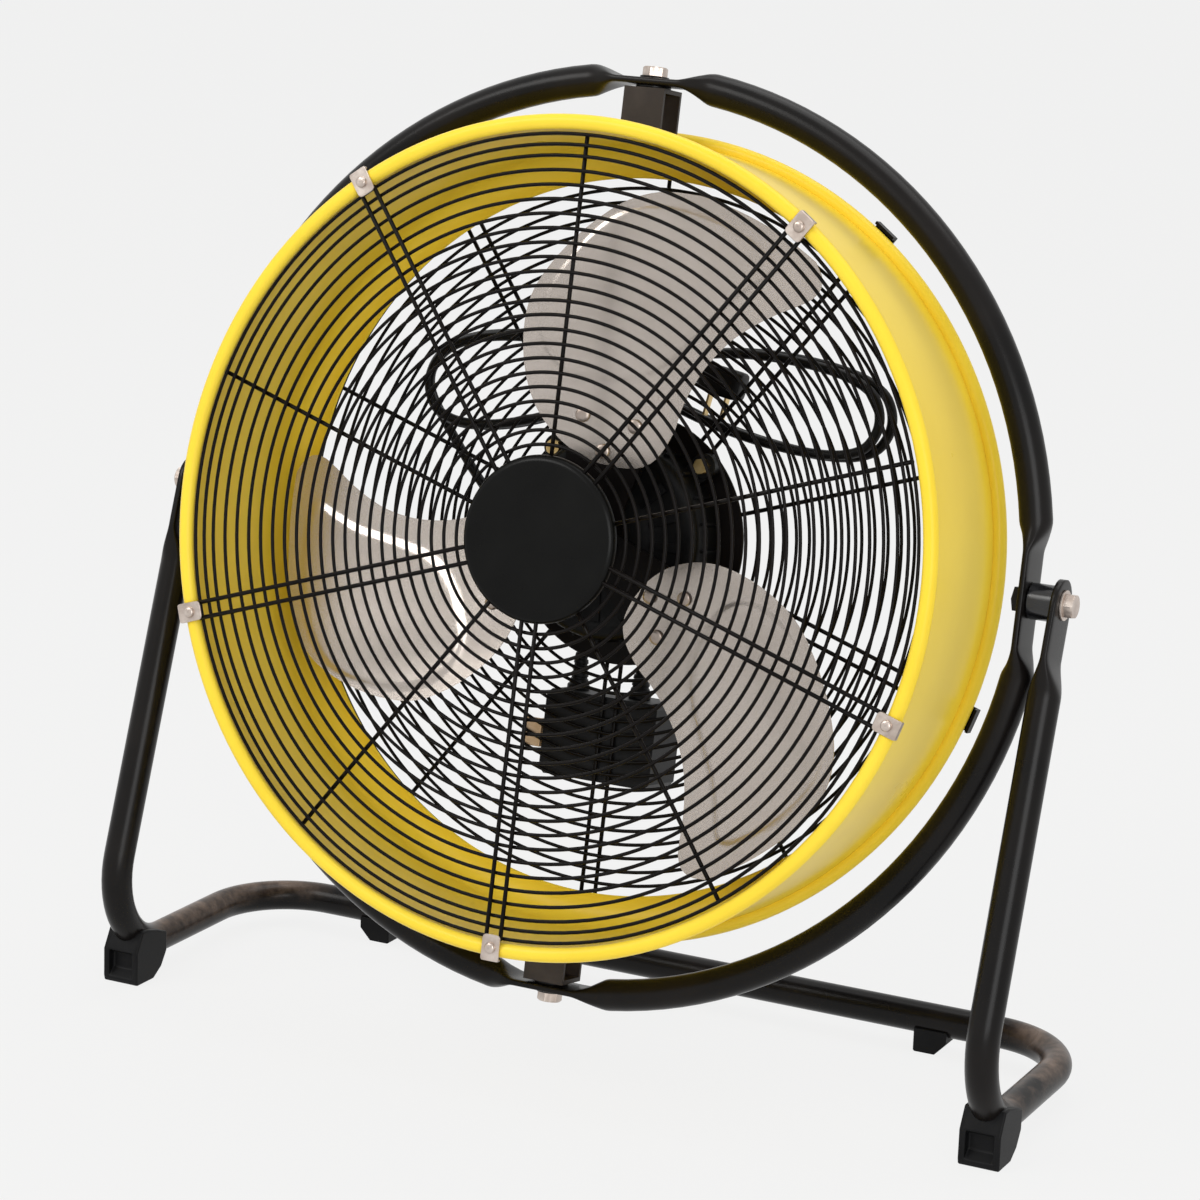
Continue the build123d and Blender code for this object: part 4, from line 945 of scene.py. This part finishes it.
def pan_screw(bm, matrix, radius, height, depth):
    """A screw with a pan head, the mark of a cross on its crown, and its shank."""
    profile = [(0, -depth), (SCREW, -depth), (SCREW, 0), (radius, 0), (radius, height * 0.35)]
    profile += [(radius * 0.93, height * 0.7), (radius * 0.72, height * 0.93), (radius * 0.45, height)]
    profile += [(radius * 0.2, height), (0, height)]
    turned(bm, profile, 24, matrix, closed=False)
    w, l = radius * 0.09, radius * 0.5
    corners = [(-l, -w), (l, -w), (l, w), (-l, w)]
    for turn in (0, 90):
        m = matrix @ Matrix.Rotation(radians(turn), 4, "Z")
        heights = (height + 0.02, height + 0.06)
        skin(bm, [[m @ Vector((x * MM, y * MM, z * MM)) for x, y in corners] for z in heights])


def ring_screws(name, radius, ahead, facing, head, node):
    """One screw at each double spoke, facing 1 to the front or -1 to the rear."""
    bm = bmesh.new()
    for out, _ in round_the_axis(ARMS, DOUBLE_FIRST):
        place = out * radius
        pan_screw(bm, spot(place.x, ahead, place.dot(UP), FORWARD * facing), head, 2.3, 8)
    o = add_mesh(name, bm, zinc_metal, "drum", 40)
    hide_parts(node)


ring_screws("front_clip_heads", 273.5, 99.0, 1, 3.8, "front_clip_screws")
ring_screws("rear_clip_heads", 275.5, -39.7, -1, 4.6, "rear_clip_screws")

bm = bmesh.new()
for side in (1, -1):
    for x, ahead in ((8, 20), (-8, 20), (8, -20), (-8, -20)):
        pan_screw(bm, spot(x, ahead, side * 274.5, UP * side), 4.6, 2.8, 4)
bracket_heads = add_mesh("bracket_screw_heads", bm, zinc_metal, "drum", 40)
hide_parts("bracket_screws")

# ---------------------------------------------------------------- guard clips
CLIP_HALF, CLIP_IN, CLIP_LIP, CLIP_OUT = 6.7, 264.6, 281.0, 282.4
LIP_HALF = CLIP_HALF - 0.4


def slab(bm, points, low, high, place, chamfer=0.35):
    """A flat plate with chamfered rims; place turns a plan point and a height into the world."""
    centre = sum((Vector(q) for q in points), Vector((0, 0))) / len(points)
    rings = []
    for z, inset in ((low, chamfer), (low + chamfer, 0), (high - chamfer, 0), (high, chamfer)):
        ring = []
        for q in points:
            away = Vector(q) - centre
            q = centre + away * (1 - inset / max(away.length, 1e-6))
            ring.append(place(q.x, q.y, z))
        rings.append(ring)
    skin(bm, rings)


clip_corners = [(-CLIP_HALF, CLIP_IN), (CLIP_HALF, CLIP_IN), (CLIP_HALF, CLIP_OUT), (-CLIP_HALF, CLIP_OUT)]
lip_corners = [(-LIP_HALF, CLIP_LIP), (LIP_HALF, CLIP_LIP), (LIP_HALF, CLIP_OUT), (-LIP_HALF, CLIP_OUT)]
clip_plan = rounded(clip_corners, [3.4, 3.4, 2.2, 2.2], 5)
lip_plan = rounded(lip_corners, [0.2, 0.2, 0.6, 0.6], 3)
bm = bmesh.new()
for out, side in round_the_axis(ARMS, DOUBLE_FIRST):

    def on_bead(x, r, z):
        return PIVOT + (out * r + side * x + FORWARD * z) * MM

    slab(bm, clip_plan, 97.5, 99.0, on_bead)
    slab(bm, lip_plan, 94.6, 98.6, on_bead, 0.2)
clips = add_mesh("front_clip_plates", bm, zinc_metal, "drum", 40)
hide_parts("front_clips")

# ---------------------------------------------------------------- strain reliefs and plug
BOX_TOP, LEAD_X = -112, 12
BOOT_SEAT = (5.4, 2.4)  # radius and depth of a boot's foot in the box's wall


def boot(bm, origin, along, seat, collar, wide, narrow, length, ribs):
    """A seat, a collar and a ribbed boot that tapers onto its cord, from the housing's face outward."""
    profile = [(0, -seat[1]), (seat[0], -seat[1]), (seat[0], 0), (collar - 0.6, 0), (collar, 0.6)]
    profile += [(collar, 3.0), (collar - 0.8, 4.0), (wide, 4.2)]
    for k in range(ribs):
        for t, drop in ((0.0, 0.0), (0.5, 0.1), (0.62, 0.8), (0.85, 0.8)):
            share = (k + t) / ribs
            profile.append((wide + (narrow - wide) * share - drop, 5 + (length - 5) * share))
    profile += [(narrow - 0.1, length - 0.4), (narrow - 0.6, length), (0, length)]
    x_axis = along.orthogonal().normalized()
    turned(bm, profile, 32, axes(x_axis, along.cross(x_axis), along, origin), closed=False)


bm = bmesh.new()
boot(bm, at(GLAND_X, LEAD_AHEAD, BOX_TOP), UP, BOOT_SEAT, 8, 6.8, 4.3, 28, 5)
gland = add_mesh("cord_boot", bm, plastic_black, "drum", 40)
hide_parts("cord_gland")

bm = bmesh.new()
boot(bm, at(LEAD_X, LEAD_AHEAD, BOX_TOP), UP, BOOT_SEAT, 8, 7.0, 4.8, 24, 4)
grommet = add_mesh("lead_boot", bm, plastic_black, "drum", 40)
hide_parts("lead_grommet")

# along the plug: place, width and depth of its section
PLUG_SECTIONS = ((-16, 13, 11), (-15, 15.5, 13), (-11, 18.4, 15), (-6, 19.6, 15.8), (2, 19.9, 15.9),
                 (11, 19.9, 15.9), (14, 19.4, 15.4), (15.6, 17.6, 13.8), (16, 15, 11.5))
pins_down = radial(-100)


def on_plug(x, y, z):
    return plug_centre + (plug_along * (x + 1) + FORWARD * y + pins_down * z) * MM


bm = bmesh.new()
rings = []
for s, width, depth in PLUG_SECTIONS:
    section = oval(width, depth, 5, 36)
    rings.append([plug_centre + (plug_along * s + pins_down * a + FORWARD * b) * MM for a, b in section])
skin(bm, rings)
boot(bm, plug_centre - plug_along * 15 * MM, -plug_along, (5, 2), 6.6, 6.0, 4.1, 24, 5)
slab(bm, rounded([(-11, -6), (11, -6), (11, 6), (-11, 6)], [3, 3, 3, 3], 4), 9.6, 10.0, on_plug, 0.1)
plug = add_mesh("plug", bm, rubber_black, "drum", 40)
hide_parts("plug_body")

# ---------------------------------------------------------------- motor
SEAT, LUG_TOP, LUG_AT, LUGS = -38.3, -26.3, 80, 4
FINS, SLOTS, COVER_RIBS = 24, 16, 12

bm = bmesh.new()
profile = [(62, SEAT), (70, SEAT), (70, -9)]
profile += arc(6, 64, -8, 0, 90, 6)
profile += [(60, -2), (58, -3.2), (34, -3.2), (32, -2), (15.2, -2), (15.2, -7), (62, -8)]
turned(bm, profile, 96, FAN)
for out, side in round_the_axis(FINS):
    prism(bm, [(-1.2, 69.6), (1.2, 69.6), (0.9, 72.4), (-0.9, 72.4)], out, side, (-37.5, -10))
for out, side in round_the_axis(SLOTS):
    prism(bm, [(-2.0, 35), (2.0, 35), (3.4, 57), (-3.4, 57)], out, side, (-4, -2.2))
for out, side in round_the_axis(LUGS, 45):
    m = axes(out, side, FORWARD, PIVOT + out * LUG_AT * MM)
    turned(bm, [(0, SEAT), (9, SEAT), (9, LUG_TOP - 1), (8, LUG_TOP), (0, LUG_TOP)], 32, m, closed=False)
    prism(bm, [(-7, 66), (7, 66), (9, LUG_AT), (-9, LUG_AT)], out, side, (SEAT, -27))
motor = add_mesh("motor_body", bm, motor_black, "drum", 35)
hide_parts("motor_housing")

bm = bmesh.new()
profile = [(65, SEAT), (61, -38.5), (61, -68)]
profile += arc(7.5, 53.5, -68.5, 0, -90, 6)
profile += [(49, -76), (48, -74.2), (20, -74.2), (19, -76), (0, -76)]
profile += [(0, -72), (52, -72), (57, -67), (57, -35.3), (65, -35.3)]
turned(bm, profile, 96, FAN, closed=False)
for out, side in round_the_axis(COVER_RIBS, 15):
    prism(bm, [(-1.3, 19.2), (1.3, 19.2), (1.9, 48.6), (-1.9, 48.6)], out, side, (-75.7, -73.8))
cover = add_mesh("motor_rear_cover", bm, motor_black, "drum", 35)
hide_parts("motor_cover")

bm = bmesh.new()
for out, side in round_the_axis(LUGS, 45):
    m = axes(out, side, FORWARD, PIVOT + out * LUG_AT * MM)
    hexagon(bm, m, 5.8, LUG_TOP, -21.8, 0.6)
    turned(bm, [(0, -46), (3, -46), (3, LUG_TOP), (0, LUG_TOP)], 20, m, closed=False)
motor_bolts = add_mesh("motor_bolt_heads", bm, brass_metal, "drum", 30)
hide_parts("motor_screws")

bm = bmesh.new()
turned(bm, [(61.5, -40.7), (87.4, -40.7), (88, -40.1), (88, -38.9), (87.4, SEAT), (61.5, SEAT)], 128, FAN)
plate = add_mesh("motor_plate", bm, wire_black, "drum", 30)
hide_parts("mount_plate")

# ---------------------------------------------------------------- CAD nodes that stay, with softened edges
# material, bevel width in millimetres and bevel segments
soft_nodes = {
    "control_box": (plastic_black, 1.2, 3), "box_cover": (plastic_black, 1.0, 2),
    "speed_knob": (plastic_black, 0.8, 2), "speed_switch": (plastic_black, 0.4, 1),
    "swivel_brackets": (bracket_black_with_painted_light, 0.8, 2), "rear_clips": (wire_black, 0.4, 2),
    "box_clip": (ear_metal, 0.3, 1), "box_screws": (zinc_metal, 0.3, 1), "motor_nuts": (zinc_metal, 0.4, 2),
    "pivot_nuts": (tube_black, 0.5, 2), "swivel_nuts": (zinc_metal, 0.5, 2), "hub_nut": (zinc_metal, 0.5, 2),
    "blade_spider": (wire_black, 0.5, 2), "guard_plate": (wire_black, 0.2, 1),
    "capacitor": (rubber_black, 0.6, 2), "motor_lead": (rubber_black, 0.4, 2),
    "stator_core": (core_metal, 0, 0), "rotor_core": (core_metal, 0, 0),
    "motor_shaft": (core_metal, 0.4, 1), "bearings": (core_metal, 0.3, 1),
    "plug_pins": (brass_metal, 0.4, 2), "cord_tie": (rubber_black, 0.5, 2),
}
for name, (material, width, segments) in soft_nodes.items():
    o = nodes[name]
    o.data.materials.clear()
    o.data.materials.append(material)
    if width:
        soften(o, width, segments, 32)

# ---------------------------------------------------------------- floor, world and lamps
FLOOR_HALF = 12.0
BACKGROUND = (0.897, 0.897, 0.894, 1)
FLOOR_SHARE = 0.94  # the rest of the floor is its own surface, which takes the fan's shadow


def seen_directly(tree, share):
    """How far a ray from the camera, or one mirrored or let through, shows the plain background."""
    path = tree.nodes.new("ShaderNodeLightPath")
    total = path.outputs["Is Camera Ray"]
    for name in ("Is Glossy Ray", "Is Transmission Ray"):
        add = tree.nodes.new("ShaderNodeMath")
        add.operation = "ADD"
        add.use_clamp = True
        tree.links.new(total, add.inputs[0])
        tree.links.new(path.outputs[name], add.inputs[1])
        total = add.outputs[0]
    part = tree.nodes.new("ShaderNodeMath")
    part.operation = "MULTIPLY"
    part.inputs[1].default_value = share
    tree.links.new(total, part.inputs[0])
    return part.outputs[0]


def mixed(tree, share, first, second, output):
    """Sends a mix of two shaders to the output."""
    mix = tree.nodes.new("ShaderNodeMixShader")
    tree.links.new(share, mix.inputs["Fac"])
    tree.links.new(first, mix.inputs[1])
    tree.links.new(second, mix.inputs[2])
    tree.links.new(mix.outputs[0], output)


floor_mesh = bpy.data.meshes.new("floor")
corners = [(-FLOOR_HALF, -FLOOR_HALF, 0), (FLOOR_HALF, -FLOOR_HALF, 0), (FLOOR_HALF, FLOOR_HALF, 0),
           (-FLOOR_HALF, FLOOR_HALF, 0)]
floor_mesh.from_pydata(corners, [], [(0, 1, 2, 3)])
floor = bpy.data.objects.new("floor", floor_mesh)
bpy.context.collection.objects.link(floor)
pale, tree, shader = new_material("floor_pale")
shader.inputs["Base Color"].default_value = (0.80, 0.80, 0.79, 1)
shader.inputs["Roughness"].default_value = 0.9
shader.inputs["Specular IOR Level"].default_value = 0.1
glow = tree.nodes.new("ShaderNodeEmission")
glow.inputs["Color"].default_value = BACKGROUND
mixed(tree, seen_directly(tree, FLOOR_SHARE), shader.outputs[0], glow.outputs[0],
      tree.nodes["Material Output"].inputs["Surface"])
floor_mesh.materials.append(pale)

world = bpy.data.worlds.new("studio")
bpy.context.scene.world = world
world.use_nodes = True
tree = world.node_tree
room = tree.nodes["Background"]
room.inputs["Color"].default_value = (0.95, 0.96, 1.0, 1)
room.inputs["Strength"].default_value = 0.62
seen = tree.nodes.new("ShaderNodeBackground")
seen.inputs["Color"].default_value = BACKGROUND
seen.inputs["Strength"].default_value = 1.0
mixed(tree, seen_directly(tree, 1.0), room.outputs[0], seen.outputs[0],
      tree.nodes["World Output"].inputs["Surface"])


def lamp(name, place, target, size, power, colour=(1, 1, 1)):
    data = bpy.data.lights.new(name, "AREA")
    data.shape = "RECTANGLE"
    data.size, data.size_y = size
    data.energy = power
    data.color = colour
    o = bpy.data.objects.new(name, data)
    o.location = place
    o.rotation_mode = "QUATERNION"
    o.rotation_quaternion = (Vector(target) - Vector(place)).to_track_quat("-Z", "Y")
    bpy.context.collection.objects.link(o)


lamp("key", (-1.6, -2.2, 2.6), (0, 0, 0.35), (1.8, 1.4), 47, (1.0, 0.99, 0.97))
lamp("fill", (2.0, -2.4, 1.2), (0, 0, 0.35), (1.6, 1.6), 36, (0.98, 0.99, 1.0))
lamp("top", (0.3, 0.6, 2.8), (0, 0, 0.3), (2.2, 1.6), 26)

bpy.context.scene.view_settings.view_transform = "Standard"
